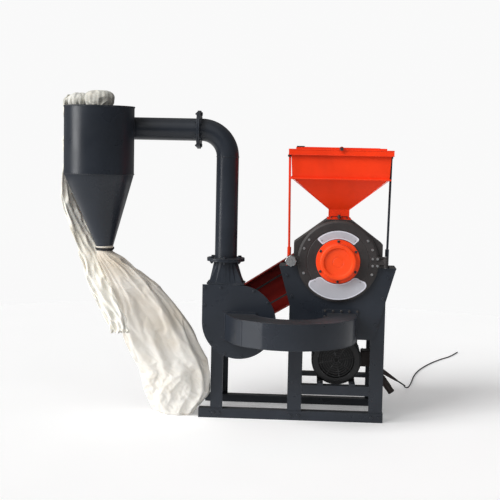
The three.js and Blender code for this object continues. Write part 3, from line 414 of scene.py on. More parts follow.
class Shape:
    """Gathers closed bodies into one mesh. An outline is in the plane across its axis: (Y, Z)
    across "x", (X, Z) across "y" and (X, Y) across "z"."""

    def __init__(self):
        self.mesh = bmesh.new()

    def skin(self, rings, caps=True, closed_length=False):
        """Joins rings of equal point count with quads."""
        made = [[self.mesh.verts.new(p) for p in ring] for ring in rings]
        pairs = list(zip(made, made[1:]))
        if closed_length:
            pairs.append((made[-1], made[0]))
        count = len(made[0])
        for first, second in pairs:
            for i in range(count):
                j = (i + 1) % count
                self.mesh.faces.new((first[i], first[j], second[j], second[i]))
        if caps and not closed_length:
            self.mesh.faces.new(reversed(made[0]))
            self.mesh.faces.new(made[-1])
        return self

    def turned(self, axis, centre, profile, sides=96):
        """A lathe body; the profile is a closed loop of (radius, place along the axis)."""
        rings = [circle_path(axis, centre, radius, along, sides) for radius, along in profile]
        return self.skin(rings, closed_length=True)

    def disc(self, axis, centre, radius, span, sides=64, edge=0.001):
        """A solid disc with softened rims."""
        low, high = span
        steps = [(radius - edge, low), (radius, low + edge), (radius, high - edge), (radius - edge, high)]
        return self.skin([circle_path(axis, centre, r, t, sides) for r, t in steps])

    def prism(self, axis, outline, span, holes=()):
        """An outline with holes, pushed along the axis."""
        loops = [outline, *holes]
        flat = [[Vector((u, v, 0)) for u, v in loop] for loop in loops]
        triangles = tessellate_polygon(flat)
        points = [p for loop in loops for p in loop]
        ends = [[self.mesh.verts.new(PLACING[axis](u, v, t)) for u, v in points] for t in span]
        for end in ends:
            for triangle in triangles:
                self.mesh.faces.new([end[i] for i in triangle])
        start = 0
        for loop in loops:
            for i in range(len(loop)):
                a, b = start + i, start + (i + 1) % len(loop)
                self.mesh.faces.new((ends[0][a], ends[0][b], ends[1][b], ends[1][a]))
            start += len(loop)
        return self

    def block(self, low, high):
        """A box between two corners."""
        low, high = Vector(low), Vector(high)
        size = Matrix.Diagonal((*(high - low), 1))
        bmesh.ops.create_cube(self.mesh, size=1, matrix=Matrix.Translation((low + high) / 2) @ size)
        return self

    def sweep(self, path, radius, sides=16, closed=False):
        """A round bar along a path of points; radius is a number or a function of the share
        of the way along."""
        size = radius if callable(radius) else (lambda share: radius)
        rings = []
        previous = None
        count = len(path)
        for i, point in enumerate(path):
            ahead = path[(i + 1) % count] if closed or i < count - 1 else point
            behind = path[i - 1] if closed or i else point
            along = (Vector(ahead) - Vector(behind)).normalized()
            if previous is None:
                side = across(along)[0]
            else:
                side = (previous - along * previous.dot(along)).normalized()
            previous = side
            other = along.cross(side)
            r = size(i / max(1, count - 1))
            middle = Vector(point)
            turns = [TAU * k / sides for k in range(sides)]
            rings.append([middle + side * (r * math.cos(a)) + other * (r * math.sin(a)) for a in turns])
        return self.skin(rings, caps=not closed, closed_length=closed)

    def bolt(self, place, direction, size, nut=False):
        """A washer and a hexagon head, domed; with nut, a thread end stands out of it."""
        place, along = Vector(place), Vector(direction).normalized()
        side, other = across(along)

        def ring(radius, height, sides, twist=0.0):
            turns = [TAU * k / sides + twist for k in range(sides)]
            middle = place + along * height
            return [middle + (side * math.cos(a) + other * math.sin(a)) * radius for a in turns]

        twist = 7.0 * (place.x + 3 * place.z)
        washer = 0.16 * size
        self.skin([ring(1.12 * size, 0, 20), ring(1.12 * size, washer, 20)])
        head = [(0.98, washer), (1.0, washer + 0.1 * size), (1.0, 0.72 * size), (0.86, 0.84 * size)]
        self.skin([ring(r * size, h, 6, twist) for r, h in head])
        if nut:
            end = [(0.5, 0.8 * size), (0.5, 1.25 * size), (0.42, 1.33 * size)]
            self.skin([ring(r * size, h, 12) for r, h in end])
        return self

    def bolts(self, places, direction, size, nut=False):
        for place in places:
            self.bolt(place, direction, size, nut)
        return self

    def bolt_circle(self, axis, centre, radius, along, direction, size, count, start=0.0):
        """Bolts evenly round a circle, the first at start degrees."""
        turned = ring_points(centre, radius, count, start, start + 360)
        return self.bolts([PLACING[axis](u, v, along) for u, v in turned], direction, size)

    def bead(self, path, radius=0.0022, closed=False):
        """A weld bead: a flattened rope with ripples every few millimetres."""
        fine = spaced(path, 0.0035, closed)

        def rippled(share):
            return radius * (1 + 0.16 * math.sin(share * len(fine) * 2.4))

        return self.sweep(fine, rippled, 6, closed)

    def done(self, name, material, body="root", smooth=32, bevel=0.0, slot=None, node=None):
        """Makes the object, softens its edges, gives it a finish and hangs it on a body. It takes
        the place of a CAD node where one is named."""
        bmesh.ops.remove_doubles(self.mesh, verts=self.mesh.verts, dist=1e-6)
        bmesh.ops.dissolve_degenerate(self.mesh, edges=self.mesh.edges, dist=1e-7)
        bmesh.ops.recalc_face_normals(self.mesh, faces=self.mesh.faces)
        data = bpy.data.meshes.new(name)
        self.mesh.to_mesh(data)
        self.mesh.free()
        piece = bpy.data.objects.new(name, data)
        bpy.context.scene.collection.objects.link(piece)
        dress(piece, material, smooth, bevel)
        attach(piece, body)
        if node:
            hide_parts(node)
        return piece


def dress(piece, material, smooth=32, bevel=0.0):
    piece.data.materials.clear()
    piece.data.materials.append(MATERIALS[material])
    if bevel:
        soften = piece.modifiers.new("soften", "BEVEL")
        soften.width = bevel
        soften.segments = 2
        soften.limit_method = "ANGLE"
        soften.angle_limit = math.radians(35)
        soften.use_clamp_overlap = True
    piece.data.shade_smooth()
    piece.data.set_sharp_from_angle(angle=math.radians(smooth))
    if bevel:
        weighted = piece.modifiers.new("even shading", "WEIGHTED_NORMAL")
        weighted.keep_sharp = True


def spaced(path, step, closed=False):
    """The same path with points about a step apart."""
    points = [Vector(p) for p in path]
    if closed:
        points.append(points[0])
    out = []
    for first, second in zip(points, points[1:]):
        count = max(1, round((second - first).length / step))
        out.extend(first.lerp(second, i / count) for i in range(count))
    if not closed:
        out.append(points[-1])
    return out


def cut_by(piece, tool, operation="DIFFERENCE"):
    """Applies a boolean with a helper object, which is then removed."""
    change = piece.modifiers.new("cut", "BOOLEAN")
    change.object = tool
    change.operation = operation
    change.solver = "EXACT"
    apply_modifiers(piece)
    bpy.data.objects.remove(tool)
    return piece


def apply_modifiers(piece):
    graph = bpy.context.evaluated_depsgraph_get()
    data = bpy.data.meshes.new_from_object(piece.evaluated_get(graph))
    piece.modifiers.clear()
    piece.data = data


# ------------------------------------------------------------------ supply cable
CABLE_D = 0.008
CABLE = [
    (0.8885, 0.158, 0.1915), (0.9025, 0.159, 0.1830), (0.9165, 0.165, 0.1730), (0.9270, 0.177, 0.1645),
    (0.9325, 0.194, 0.1585), (0.9365, 0.268, 0.1420), (0.9505, 0.393, 0.1100), (0.9695, 0.520, 0.0790),
    (0.9895, 0.656, 0.0495), (1.0105, 0.792, 0.0260), (1.0315, 0.927, 0.0100), (1.0535, 1.063, 0.0043),
    (1.0835, 1.233, 0.0043), (1.1275, 1.403, 0.0043), (1.1875, 1.564, 0.0043), (1.2565, 1.713, 0.0043),
    (1.3215, 1.828, 0.0043), (1.3925, 1.938, 0.0043), (1.4725, 2.121, 0.0043),
]


def smooth_route(points, per_span=8):
    """A centripetal Catmull-Rom curve through the points."""
    points = [Vector(p) for p in points]
    ends = [2 * points[0] - points[1], *points, 2 * points[-1] - points[-2]]
    out = []
    for a, b, c, d in zip(ends, ends[1:], ends[2:], ends[3:]):
        t1 = (b - a).length ** 0.5
        t2 = t1 + (c - b).length ** 0.5
        t3 = t2 + (d - c).length ** 0.5
        for i in range(per_span):
            t = t1 + (t2 - t1) * i / per_span
            ab = a.lerp(b, t / t1)
            bc = b.lerp(c, (t - t1) / (t2 - t1))
            cd = c.lerp(d, (t - t2) / (t3 - t2))
            abc = ab.lerp(bc, t / t2)
            bcd = bc.lerp(cd, (t - t1) / (t3 - t1))
            out.append(abc.lerp(bcd, (t - t1) / (t2 - t1)))
    out.append(points[-1])
    return out


def add_cable():
    route = smooth_route(CABLE)
    data = bpy.data.curves.new("supply_cable", "CURVE")
    data.dimensions = "3D"
    data.bevel_depth = CABLE_D / 2
    data.bevel_resolution = 4
    data.use_fill_caps = True
    line = data.splines.new("POLY")
    line.points.add(len(route) - 1)
    for spot, point in zip(line.points, route):
        spot.co = (*point, 1)
    cable = bpy.data.objects.new("supply_cable", data)
    bpy.context.scene.collection.objects.link(cable)
    data.materials.append(MATERIALS["cable_rubber"])
    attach(cable, "root")
    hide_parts("power_cable")


# ------------------------------------------------------------------ CAD nodes that stay
KEPT = {
    "slate_paint": (0.0012, ["left_leg_frame", "middle_leg_frame", "right_leg_frame", "bottom_rail_front",
                             "bottom_rail_rear", "blower_rail_front", "blower_rail_rear",
                             "motor_rail_front", "motor_rail_rear", "discharge_hood",
                             "motor_slide_base", "hopper_stay_right", "outlet_transition"]),
    "orange_paint": (0.0012, ["hopper", "hopper_lid", "hopper_stay_left"]),
    "cast_iron": (0.002, ["feed_gate", "mill_housing", "rotor_discs", "mill_bearing_pedestal",
                          "blower_bearing_pedestal"]),
    "bright_steel": (0.0005, ["screen", "door_hinge_pin", "mill_shaft", "motor_shaft", "blower_shaft",
                              "impeller", "lid_hinge_pin", "clamp_bolt",
                              *[f"hammer_{i}" for i in range(1, 5)],
                              *[f"hammer_pin_{i}" for i in range(1, 5)]]),
    "dark_plastic": (0.0015, ["terminal_box", "cable_gland"]),
}


def dress_kept_nodes():
    for material, (bevel, names) in KEPT.items():
        for name in names:
            dress(NODES[name], material, 30, bevel)


# ------------------------------------------------------------------ cyclone and pipework
def add_cyclone():
    centre = (CYCLONE_X, CYCLONE_Y)
    low = MOUTH_Z + 0.012
    lip_r = MOUTH_R + 0.0035
    sections = [(MOUTH_SHIFT, lip_r, MOUTH_Z + 0.001), (MOUTH_SHIFT, lip_r, MOUTH_Z + 0.009),
                (MOUTH_SHIFT, MOUTH_R, low)]
    for share in (i / 9 for i in range(1, 9)):
        radius = MOUTH_R + (CYCLONE_R - MOUTH_R) * share
        sections.append((MOUTH_SHIFT * (1 - share), radius, low + (CYCLONE_SEAM - low) * share))
    sections += [(0, CYCLONE_R, z) for z in (CYCLONE_SEAM, CYCLONE_SEAM + 0.004, CYCLONE_TOP - 0.004)]
    shape = Shape()
    shape.skin([circle_path("z", (CYCLONE_X + shift, CYCLONE_Y), r, z, 128) for shift, r, z in sections])
    shape.disc("z", centre, CYCLONE_R + 0.003, (CYCLONE_TOP - 0.005, CYCLONE_TOP), 128, 0.0015)
    neck_bore = NECK_R - 0.0025
    shape.turned("z", centre, [(NECK_R, CYCLONE_TOP - 0.003), (NECK_R, NECK_TOP), (neck_bore, NECK_TOP),
                               (neck_bore, CYCLONE_TOP - 0.003)])
    inlet = (PIPE_Y, PIPE_Z)
    end = JOINT_X - 0.00015
    shape.disc("x", inlet, PIPE_R, (CYCLONE_X + 0.10, end - 0.001), 64)
    shape.disc("x", inlet, FLANGE_R, (end - FLANGE_T, end), 96)
    shape.done("cyclone_shell", "slate_paint", smooth=28, node="cyclone")
    add_cyclone_welds(centre, inlet, end)


def add_cyclone_welds(centre, inlet, end):
    seam = polar(centre, CYCLONE_R, 62)
    mouth_seam = polar((CYCLONE_X + MOUTH_SHIFT, CYCLONE_Y), MOUTH_R, 62)
    welds = Shape()
    welds.bead(circle_path("z", centre, CYCLONE_R + 0.0002, CYCLONE_SEAM, 240), 0.0022, True)
    welds.bead(circle_path("z", centre, CYCLONE_R, CYCLONE_TOP - 0.006, 240), 0.0018, True)
    welds.bead(circle_path("z", centre, NECK_R, CYCLONE_TOP + 0.0005, 120), 0.0022, True)
    welds.bead(circle_path("x", inlet, PIPE_R, end - FLANGE_T - 0.0005, 120), 0.0024, True)
    welds.bead([(*seam, CYCLONE_SEAM), (*seam, CYCLONE_TOP - 0.006)], 0.0018)
    welds.bead([(*mouth_seam, MOUTH_Z + 0.02), (*seam, CYCLONE_SEAM)], 0.0018)
    welds.bead(junction(centre, CYCLONE_R, inlet, PIPE_R), 0.0026, True)
    welds.done("cyclone_welds", "slate_paint", smooth=60)


def junction(centre, radius, inlet, pipe, sides=120):
    """Where a pipe along X runs into a standing cylinder."""
    points = []
    for y, z in ring_points(inlet, pipe, sides):
        reach = max(0.0, radius * radius - (y - centre[1]) ** 2)
        points.append(Vector((centre[0] + math.sqrt(reach), y, z)))
    return points


def add_riser():
    low, end = JOINT_Z + 0.00015, JOINT_X + 0.00015
    foot = (PIPE_X, PIPE_Y)
    bend_x, bend_z = PIPE_X - ELBOW_R, PIPE_Z - ELBOW_R
    path = [Vector((*foot, low + FLANGE_T - 0.001)), Vector((*foot, bend_z - 0.002))]
    path += [Vector((x, PIPE_Y, z)) for x, z in ring_points((bend_x, bend_z), ELBOW_R, 24, 0, 90)]
    path.append(Vector((end + FLANGE_T - 0.001, PIPE_Y, PIPE_Z)))
    shape = Shape()
    shape.sweep(path, PIPE_R, 72)
    shape.disc("z", foot, FLANGE_R, (low, low + FLANGE_T), 96)
    shape.disc("x", (PIPE_Y, PIPE_Z), FLANGE_R, (end, end + FLANGE_T), 96)
    shape.done("riser_tube", "slate_paint", smooth=28, node="riser_pipe")

    welds = Shape()
    for radius, z, size in ((PIPE_R, low + FLANGE_T + 0.0005, 0.0025), (PIPE_R, bend_z, 0.0022),
                            (PIPE_R + 0.003, JOINT_Z - FLANGE_T - 0.0015, 0.0025)):
        welds.bead(circle_path("z", foot, radius, z, 120), size, True)
    welds.done("riser_welds", "slate_paint", smooth=60)

    bolts = Shape()
    size = 0.0095
    for u, v in ring_points((0, 0), 0.080, 6, 30, 390):
        bolts.bolt((PIPE_X + u, PIPE_Y + v, low + FLANGE_T), UP, size)
        bolts.bolt((PIPE_X + u, PIPE_Y + v, low - FLANGE_T - CLEARANCE), (0, 0, -1), size, True)
        bolts.bolt((end + FLANGE_T, PIPE_Y + u, PIPE_Z + v), (1, 0, 0), size)
        bolts.bolt((end - FLANGE_T - CLEARANCE, PIPE_Y + u, PIPE_Z + v), (-1, 0, 0), size, True)
    bolts.done("pipe_flange_bolts", "slate_paint", smooth=30)


def add_transition_details():
    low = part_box("outlet_transition")[0]
    x0, x1 = low.x + 0.0062, SCROLL_RIGHT
    y0, y1 = SCROLL_FRONT + 0.0016, FRONT - 0.0016
    z = low.z + 0.0055
    welds = Shape()
    welds.bead([(x0, y0, z), (x1, y0, z), (x1, y1, z), (x0, y1, z)], 0.0022, True)
    welds.done("transition_welds", "slate_paint", smooth=60)


# ------------------------------------------------------------------ blower and suction duct
def add_blower():
    left = FAN_X - PLATE_R
    face = Shape()
    outline = [(FAN_X, BLOWER_TOP), (left, BLOWER_TOP), *ring_points(FAN, PLATE_R, 140, 180, 450)]
    face.prism("y", outline, (SCROLL_FRONT - 0.005, SCROLL_FRONT - CLEARANCE))
    face.done("blower_face", "slate_paint", smooth=30, bevel=0.0012, node="blower_front_plate")

    rim = [(FAN_X, BLOWER_TOP - 0.004), (left + 0.002, BLOWER_TOP - 0.004),
           *ring_points(FAN, PLATE_R - 0.002, 140, 180, 450)]
    scroll = [(SCROLL_RIGHT, BLOWER_TOP - 0.001), (SCROLL_LEFT, BLOWER_TOP - 0.001),
              *ring_points(FAN, SCROLL_R, 140, 200, 444)]
    shell = Shape()
    shell.prism("y", rim, (SCROLL_FRONT, SCROLL_FRONT + 0.004))
    shell.prism("y", scroll, (SCROLL_FRONT + 0.003, FRONT - CLEARANCE))
    shell.done("blower_shell", "slate_paint", smooth=30, bevel=0.0012, node="blower_casing")
    add_blower_bolts(left)


def add_blower_bolts(left):
    bolts = Shape()
    size = 0.0066
    y = SCROLL_FRONT - 0.005
    for x, z in (polar(FAN, PLATE_R - 0.011, turn) for turn in range(186, 444, 30)):
        bolts.bolt((x, y, z), FORWARD, size)
        bolts.bolt((x, SCROLL_FRONT + 0.004, z), REARWARD, size, True)
    bolts.bolts([(left + 0.012, y, FAN_Z + 0.085), (left + 0.012, y, BLOWER_TOP - 0.016),
                 (FAN_X - 0.095, y, BLOWER_TOP - 0.014)], FORWARD, size)
    bolts.bolts([(MILL_X - x, FRONT - 0.010, BLOWER_TOP - 0.030) for x in (0.64, 0.573, 0.506)],
                REARWARD, 0.006)
    bolts.bolt_circle("y", FAN, 0.055, FRONT - CLEARANCE, REARWARD, 0.006, 4, 45)
    bolts.done("blower_bolts", "slate_paint", smooth=30)


def duct_side(radius, reach, flats=()):
    """The duct's plan on one side: flat panels first, then a smooth bend to the right end. It
    starts where the circle is a reach in front of the duct's centre."""
    marks = [180 + math.degrees(math.asin(reach / radius)), *flats]
    bend = [marks[-1] + (360 - marks[-1]) * i / 72 for i in range(1, 73)]
    return [polar((DUCT_X, DUCT_Y), radius, turn) for turn in [*marks, *bend]]


def add_duct():
    left = SCROLL_FRONT - 0.0053
    right = FRONT - PLATE - 0.0006
    flange = 0.006
    outer = duct_side(DUCT_OUTER, DUCT_Y - left, DUCT_FOLDS)
    inner = duct_side(DUCT_INNER, DUCT_Y - left)
    near, far = DUCT_X + DUCT_INNER, DUCT_X + DUCT_OUTER
    shape = Shape()
    shape.prism("z", [*outer, (far, right), (near, right), *reversed(inner)], (DUCT_LOW, DUCT_HIGH))
    shape.block((near - 0.022, right - flange, DUCT_LOW - 0.016), (far + 0.012, right, DUCT_HIGH + 0.020))
    shape.block((DUCT_X - DUCT_OUTER - 0.012, left - 0.005, DUCT_LOW - 0.012),
                (DUCT_X - DUCT_INNER + 0.014, left, DUCT_HIGH + 0.012))
    shape.done("duct_shell", "slate_paint", smooth=20, bevel=0.0015, node="suction_duct")

    welds = Shape()
    for z in (DUCT_LOW, DUCT_HIGH):
        for side in (outer, inner):
            welds.bead([(x, y, z) for x, y in side], 0.0016)
    fold = polar((DUCT_X, DUCT_Y), DUCT_OUTER, DUCT_FOLDS[1])
    welds.bead([(*fold, DUCT_LOW), (*fold, DUCT_HIGH)], 0.0014)
    x0, x1, y = outer[0][0] + 0.001, inner[0][0], left - 0.005
    welds.bead([(x0, y, DUCT_LOW), (x0, y, DUCT_HIGH), (x1, y, DUCT_HIGH), (x1, y, DUCT_LOW)], 0.0026, True)
    welds.done("duct_welds", "slate_paint", smooth=60)

    y = right - flange
    places = [(MILL_X - 0.060 + i * 0.042, y, DUCT_HIGH + 0.0105) for i in range(5)]
    places += [(near - 0.012, y, z) for z in (DUCT_LOW + 0.02, DUCT_HIGH - 0.02)]
    Shape().bolts(places, FORWARD, 0.0058).done("duct_bolts", "cast_iron", smooth=30)


# ------------------------------------------------------------------ mill
def add_door():
    front, back = DOOR_FRONT, DOOR_BACK
    shape = Shape()
    shape.turned("y", MILL, [
        (0.098, back), (0.098, front + 0.002), (0.100, front), (0.1585, front), (0.1600, front + 0.0015),
        (0.1635, front + 0.0015), (0.1650, front), (0.1975, front), (0.2005, front + 0.001),
        (0.2095, front + 0.0065), (DOOR_R, front + 0.009), (DOOR_R, back)], 160)
    pin_low, pin_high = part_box("door_hinge_pin")
    pin = (pin_low + pin_high) / 2
    low, high = MILL_Z - 0.012, MILL_Z + 0.012
    shape.block((MILL_X + 0.196, pin.y - 0.008, low), (pin.x + 0.002, back, high))
    shape.turned("z", (pin.x, pin.y), [(0.0063, low), (0.0105, low), (0.0115, low + 0.001),
                                       (0.0115, high - 0.001), (0.0105, high), (0.0063, high)], 40)
    for z0, z1 in ((MILL_Z - 0.022, MILL_Z - 0.009), (MILL_Z + 0.009, MILL_Z + 0.022)):
        shape.block((MILL_X - 0.255, front, z0), (MILL_X - 0.196, back, z1))
    shape.block((MILL_X - 0.233, front, low), (MILL_X - 0.196, back, high))
    shape.done("door_casting", "cast_iron", "door", smooth=30, bevel=0.001, node="mill_door")

    straps = Shape()
    for z0, z1 in ((MILL_Z - 0.030, MILL_Z - 0.008), (MILL_Z + 0.008, MILL_Z + 0.030)):
        straps.block((MILL_X + 0.166, front - 0.004, z0), (MILL_X + 0.213, front + 0.003, z1))
    straps.done("door_hinge_straps", "cast_iron", "door", smooth=30, bevel=0.001)
    studs = Shape()
    studs.bolts([(MILL_X + x, front - 0.004, MILL_Z + z) for z in (-0.018, 0.018) for x in (0.178, 0.203)],
                FORWARD, 0.0058)
    for x, z in (polar(MILL, 0.187, turn) for turn in (20, 36, 144, 160, 200, 340)):
        studs.bolt((x, front, z), FORWARD, 0.0062)
    studs.done("door_studs", "bright_steel", "door", smooth=30)


def add_hub_cap():
    base = DOOR_FRONT - CLEARANCE
    step = base - 0.008
    nose, dish, inside = FRONT - 0.086, FRONT - 0.076, FRONT - 0.070
    corner = 0.007
    profile = [(0.086, base), (CAP_FLANGE_R - 0.001, base), (CAP_FLANGE_R, base - 0.001),
               (CAP_FLANGE_R, step + 0.002), (CAP_FLANGE_R - 0.002, step), (CAP_BOSS_R + 0.004, step),
               (CAP_BOSS_R + 0.001, step - 0.001), (CAP_BOSS_R, step - 0.004)]
    profile += ring_points((CAP_BOSS_R - corner, nose + corner), corner, 6, 0, -90)
    profile += [(0.077, nose), (0.0745, nose + 0.0008), (0.068, dish - 0.001), (0.065, dish), (0.030, dish),
                (0.0285, dish + 0.0012), (0.0265, dish + 0.0012), (0.025, dish), (0.0005, dish),
                (0.0005, inside), (0.086, inside)]
    cap = Shape().turned("y", MILL, profile, 128)
    cap.done("cap_casting", "cap_orange_paint", "door", smooth=30, node="hub_cap")
    bolts = Shape().bolt_circle("y", MILL, 0.1047, step, FORWARD, 0.0066, 6, 90)
    bolts.done("cap_bolts", "cast_iron", "door", smooth=30)


def sector(inner, outer, start, end, corner):
    """A ring sector in X and Z about the mill's shaft, with rounded corners."""
    far = math.degrees(corner / outer)
    near = math.degrees(corner / inner)

    def round_corner(radius, angle, first):
        return ring_points(polar(MILL, radius, angle), corner, 6, angle + first, angle + first + 90)

    points = ring_points(MILL, outer, 48, start + far, end - far)
    points += round_corner(outer - corner, end - far, 0)
    points += round_corner(inner + corner, end - near, 90)
    points += reversed(ring_points(MILL, inner, 48, start + near, end - near))
    points += round_corner(inner + corner, start + near, 180)
    points += round_corner(outer - corner, start + far, 270)
    return points


def add_blank_plates():
    base = DOOR_FRONT - CLEARANCE
    inner = CAP_FLANGE_R + 0.003
    border = 0.006
    for name, outer, start, end, corner in [
            ("upper", 0.159, 47, 134, 0.008),
            ("lower", 0.199, 217, 323, 0.026)]:
        plate = Shape().prism("y", sector(inner, outer, start, end, corner), (base - 0.0018, base))
        plate.done(f"pale_plate_{name}", "silver_paint", "door", smooth=30, bevel=0.0006,
                   node=f"blank_plate_{name}")
        margin = math.degrees(0.008 / outer)
        inside = sector(inner + border, outer - border, start + margin, end - margin, corner * 0.7)
        field = Shape().prism("y", inside, (base - 0.0022, base - 0.0017))
        field.done(f"plate_field_{name}", "grey_field", "door", smooth=30, slot="silver_paint")
        rivets = Shape()
        for place in (polar(MILL, (inner + outer) / 2, turn) for turn in (start + 5, end - 5)):
            rivets.disc("y", place, 0.003, (base - 0.0036, base - 0.0015), 20, 0.0006)
        rivets.done(f"plate_rivets_{name}", "bright_steel", "door", smooth=40)


def add_clamp():
    low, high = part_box("clamp_nut")
    centre = ((low.x + high.x) / 2, (low.z + high.z) / 2)
    front, shoulder, back = low.y, low.y + 0.024, high.y
    lobes, sides = 8, 96

    def lobed(scale, y):
        points = []
        for degrees in (360 * i / sides for i in range(sides)):
            radius = (0.0283 + 0.0016 * math.cos(lobes * math.radians(degrees))) * scale
            x, z = polar(centre, radius, degrees)
            points.append(Vector((x, y, z)))
        return points

    shape = Shape()
    shape.skin([lobed(0.90, front), lobed(0.97, front + 0.0015), lobed(1.0, front + 0.005),
                lobed(1.0, shoulder - 0.005), lobed(0.97, shoulder - 0.0015), lobed(0.90, shoulder)])
    shape.turned("y", centre, [(0.0085, shoulder - 0.001), (0.013, shoulder - 0.001), (0.013, back - 0.001),
                               (0.012, back), (0.0085, back)], 48)
    shape.done("clamp_knob", "bright_steel", "nut", smooth=30, node="clamp_nut")


def add_housing_details():
    """Cast ribs and a boss on the drum's back, and bolts there and on the feed throat and ears."""
    back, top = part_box("mill_housing")[1].yz
    bolts = Shape()
    bolts.bolts([(MILL_X + x, HOPPER_Y + y, top + 0.006) for x in (-0.040, 0.040) for y in (-0.060, 0.060)],
                UP, 0.0058)
    bolts.bolt_circle("y", MILL, 0.165, back, REARWARD, 0.0078, 8, 22.5)
    bolts.bolts([(MILL_X + x, FRONT + y, MILL_Z - 0.032) for x in (-0.262, 0.262) for y in (0.06, 0.13)],
                UP, 0.0075)
    bolts.done("housing_bolts", "cast_iron", smooth=30)

    ribs = Shape()
    inner, outer, half = 0.05, 0.178, 0.005
    for turn in (60, 90, 120, 200, 250, 290, 340):
        c, s = math.cos(math.radians(turn)), math.sin(math.radians(turn))
        corners = ((inner, half), (outer, half), (outer, -half), (inner, -half))
        line = [(MILL_X + reach * c - side * s, MILL_Z + reach * s + side * c) for reach, side in corners]
        ribs.prism("y", line, (back - 0.001, back + 0.0045))
    ribs.turned("y", MILL, [(0.030, back - 0.001), (0.052, back - 0.001), (0.052, back + 0.007),
                            (0.049, back + 0.009), (0.030, back + 0.009)], 64)
    ribs.done("housing_ribs", "cast_iron", smooth=30, bevel=0.0012)


# ------------------------------------------------------------------ drive
def belt_line(first, first_r, second, second_r, steps=40):
    """The outline of two circles and the tangents round them, in X and Z."""
    heading = math.degrees(math.atan2(second[1] - first[1], second[0] - first[0]))
    apart = math.dist(first, second)
    lean = math.degrees(math.acos((first_r - second_r) / apart))
    far = ring_points(first, first_r, steps, heading + lean, heading - lean + 360)
    near = ring_points(second, second_r, steps, heading - lean, heading + lean)
    return [*far, *near]


def add_belts():
    drive_rows = (-GROOVE_HALF_GAP, GROOVE_HALF_GAP)
    for name, node, first, first_r, y, rows in [
            ("drive_belts", "drive_belt", MOTOR, MOTOR_SHEAVE_R, DRIVE_BELT_Y, drive_rows),
            ("blower_vbelt", "blower_belt", FAN, FAN_SHEAVE_R, BLOWER_BELT_Y, (0.0,))]:
        shape = Shape()
        for row in rows:
            rings = []
            for lift, side in ((0.0008, -0.0062), (0.0008, 0.0062), (-0.0076, 0.0040), (-0.0076, -0.0040)):
                line = belt_line(first, first_r + lift, MILL, MILL_SHEAVE_R + lift)
                rings.append([Vector((x, y + row + side, z)) for x, z in line])
            shape.skin(rings, closed_length=True)
        shape.done(name, "belt_rubber", smooth=30, node=node)


def add_sheave(name, node, body, centre, radius, bore, front, back, grooves):
    """A grooved pulley with a dished back, and the head of its key."""
    profile = [(bore, front), (radius - 0.001, front), (radius, front + 0.001)]
    for y in grooves:
        profile += [(radius, y - 0.0066), (radius - 0.010, y - 0.0042), (radius - 0.010, y + 0.0042),
                    (radius, y + 0.0066)]
    dish = back - 0.006
    profile += [(radius, back - 0.001), (radius - 0.001, back), (radius - 0.014, back),
                (radius - 0.016, dish), (bore + 0.016, dish), (bore + 0.014, back), (bore, back)]
    shape = Shape()
    shape.turned("y", centre, profile, 96)
    x, z = centre
    shape.block((x - 0.003, back - 0.004, z + bore - 0.002), (x + 0.003, back + 0.0008, z + bore + 0.004))
    shape.done(name, "cast_iron", body, smooth=30, node=node)


def add_pulleys():
    drive = (DRIVE_BELT_Y - GROOVE_HALF_GAP, DRIVE_BELT_Y + GROOVE_HALF_GAP)
    add_sheave("mill_sheave", "mill_pulley", "rotor", MILL, MILL_SHEAVE_R, 0.0255,
               FRONT + 0.404, FRONT + 0.472, (BLOWER_BELT_Y, *drive))
    add_sheave("motor_sheave", "motor_pulley", "motor_rotor", MOTOR, MOTOR_SHEAVE_R, 0.0195,
               DRIVE_BELT_Y - 0.022, DRIVE_BELT_Y + 0.022, drive)
    add_sheave("blower_sheave", "blower_pulley", "fan", FAN, FAN_SHEAVE_R, 0.0175,
               FRONT + 0.404, FRONT + 0.432, (BLOWER_BELT_Y,))


def guard_runs(inset, span):
    """Both arms of the belt guard as one solid, drawn in from the guard's outline by an inset."""
    mill_half = GUARD_HALF - inset
    first = Shape().prism("y", belt_line(FAN, GUARD_BLOWER_HALF - inset, MILL, mill_half, 48), span)
    second = Shape().prism("y", belt_line(MOTOR, mill_half, MILL, mill_half, 48), span)
    arms = [arm.done("guard_run", "orange_paint") for arm in (first, second)]
    return cut_by(*arms, "UNION")


def add_guard():
    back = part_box("belt_guard")[1].y
    guard = guard_runs(0, (GUARD_FRONT, back))
    cut_by(guard, guard_runs(0.0025, (GUARD_FRONT - 0.01, back - 0.0025)))
    guard.name = "guard_cover"
    # Painted shade: the guard takes the dark red, shaded copy of the orange paint.
    dress(guard, "guard_paint", 30, 0.001)
    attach(guard, "root")
    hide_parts("belt_guard")
    add_guard_tabs()


def add_guard_tabs():
    """Straps from the stand's legs and the blower's rail to the guard."""
    low_z, high_z = 0.585, 0.615
    left, right = MILL_X - GUARD_HALF + 0.007, MILL_X + GUARD_HALF - 0.007
    below = FAN_Z - GUARD_BLOWER_HALF
    middle_leg, right_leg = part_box("middle_leg_frame"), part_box("right_leg_frame")
    near, bent, face = BACK + CLEARANCE, GUARD_FRONT + 0.03, BACK + 0.004
    tabs = Shape()
    tabs.block((middle_leg[0].x, near, low_z), (left, face, high_z))
    tabs.block((right, near, low_z), (right_leg[1].x, face, high_z))
    tabs.block((left - 0.004, near, low_z), (left, bent, high_z))
    tabs.block((right, near, low_z), (right + 0.004, bent, high_z))
    tabs.block((FAN_X - 0.015, near, 0.400), (FAN_X + 0.015, face, below + 0.005))
    tabs.block((FAN_X - 0.015, near, below - 0.001), (FAN_X + 0.015, bent, below + 0.003))
    # Painted shade: the tabs take the guard's dark red, shaded copy of the orange paint.
    tabs.done("guard_tabs", "guard_paint", bevel=0.001, slot="orange_paint")
    across_legs = (middle_leg[0].x + 0.02, middle_leg[1].x - 0.016,
                   right_leg[0].x + 0.016, right_leg[1].x - 0.02)
    places = [(x, face, (low_z + high_z) / 2) for x in across_legs]
    bolts = Shape().bolts([*places, (FAN_X, face, 0.414)], REARWARD, 0.0062)
    bolts.done("guard_bolts", "bright_steel", smooth=30)


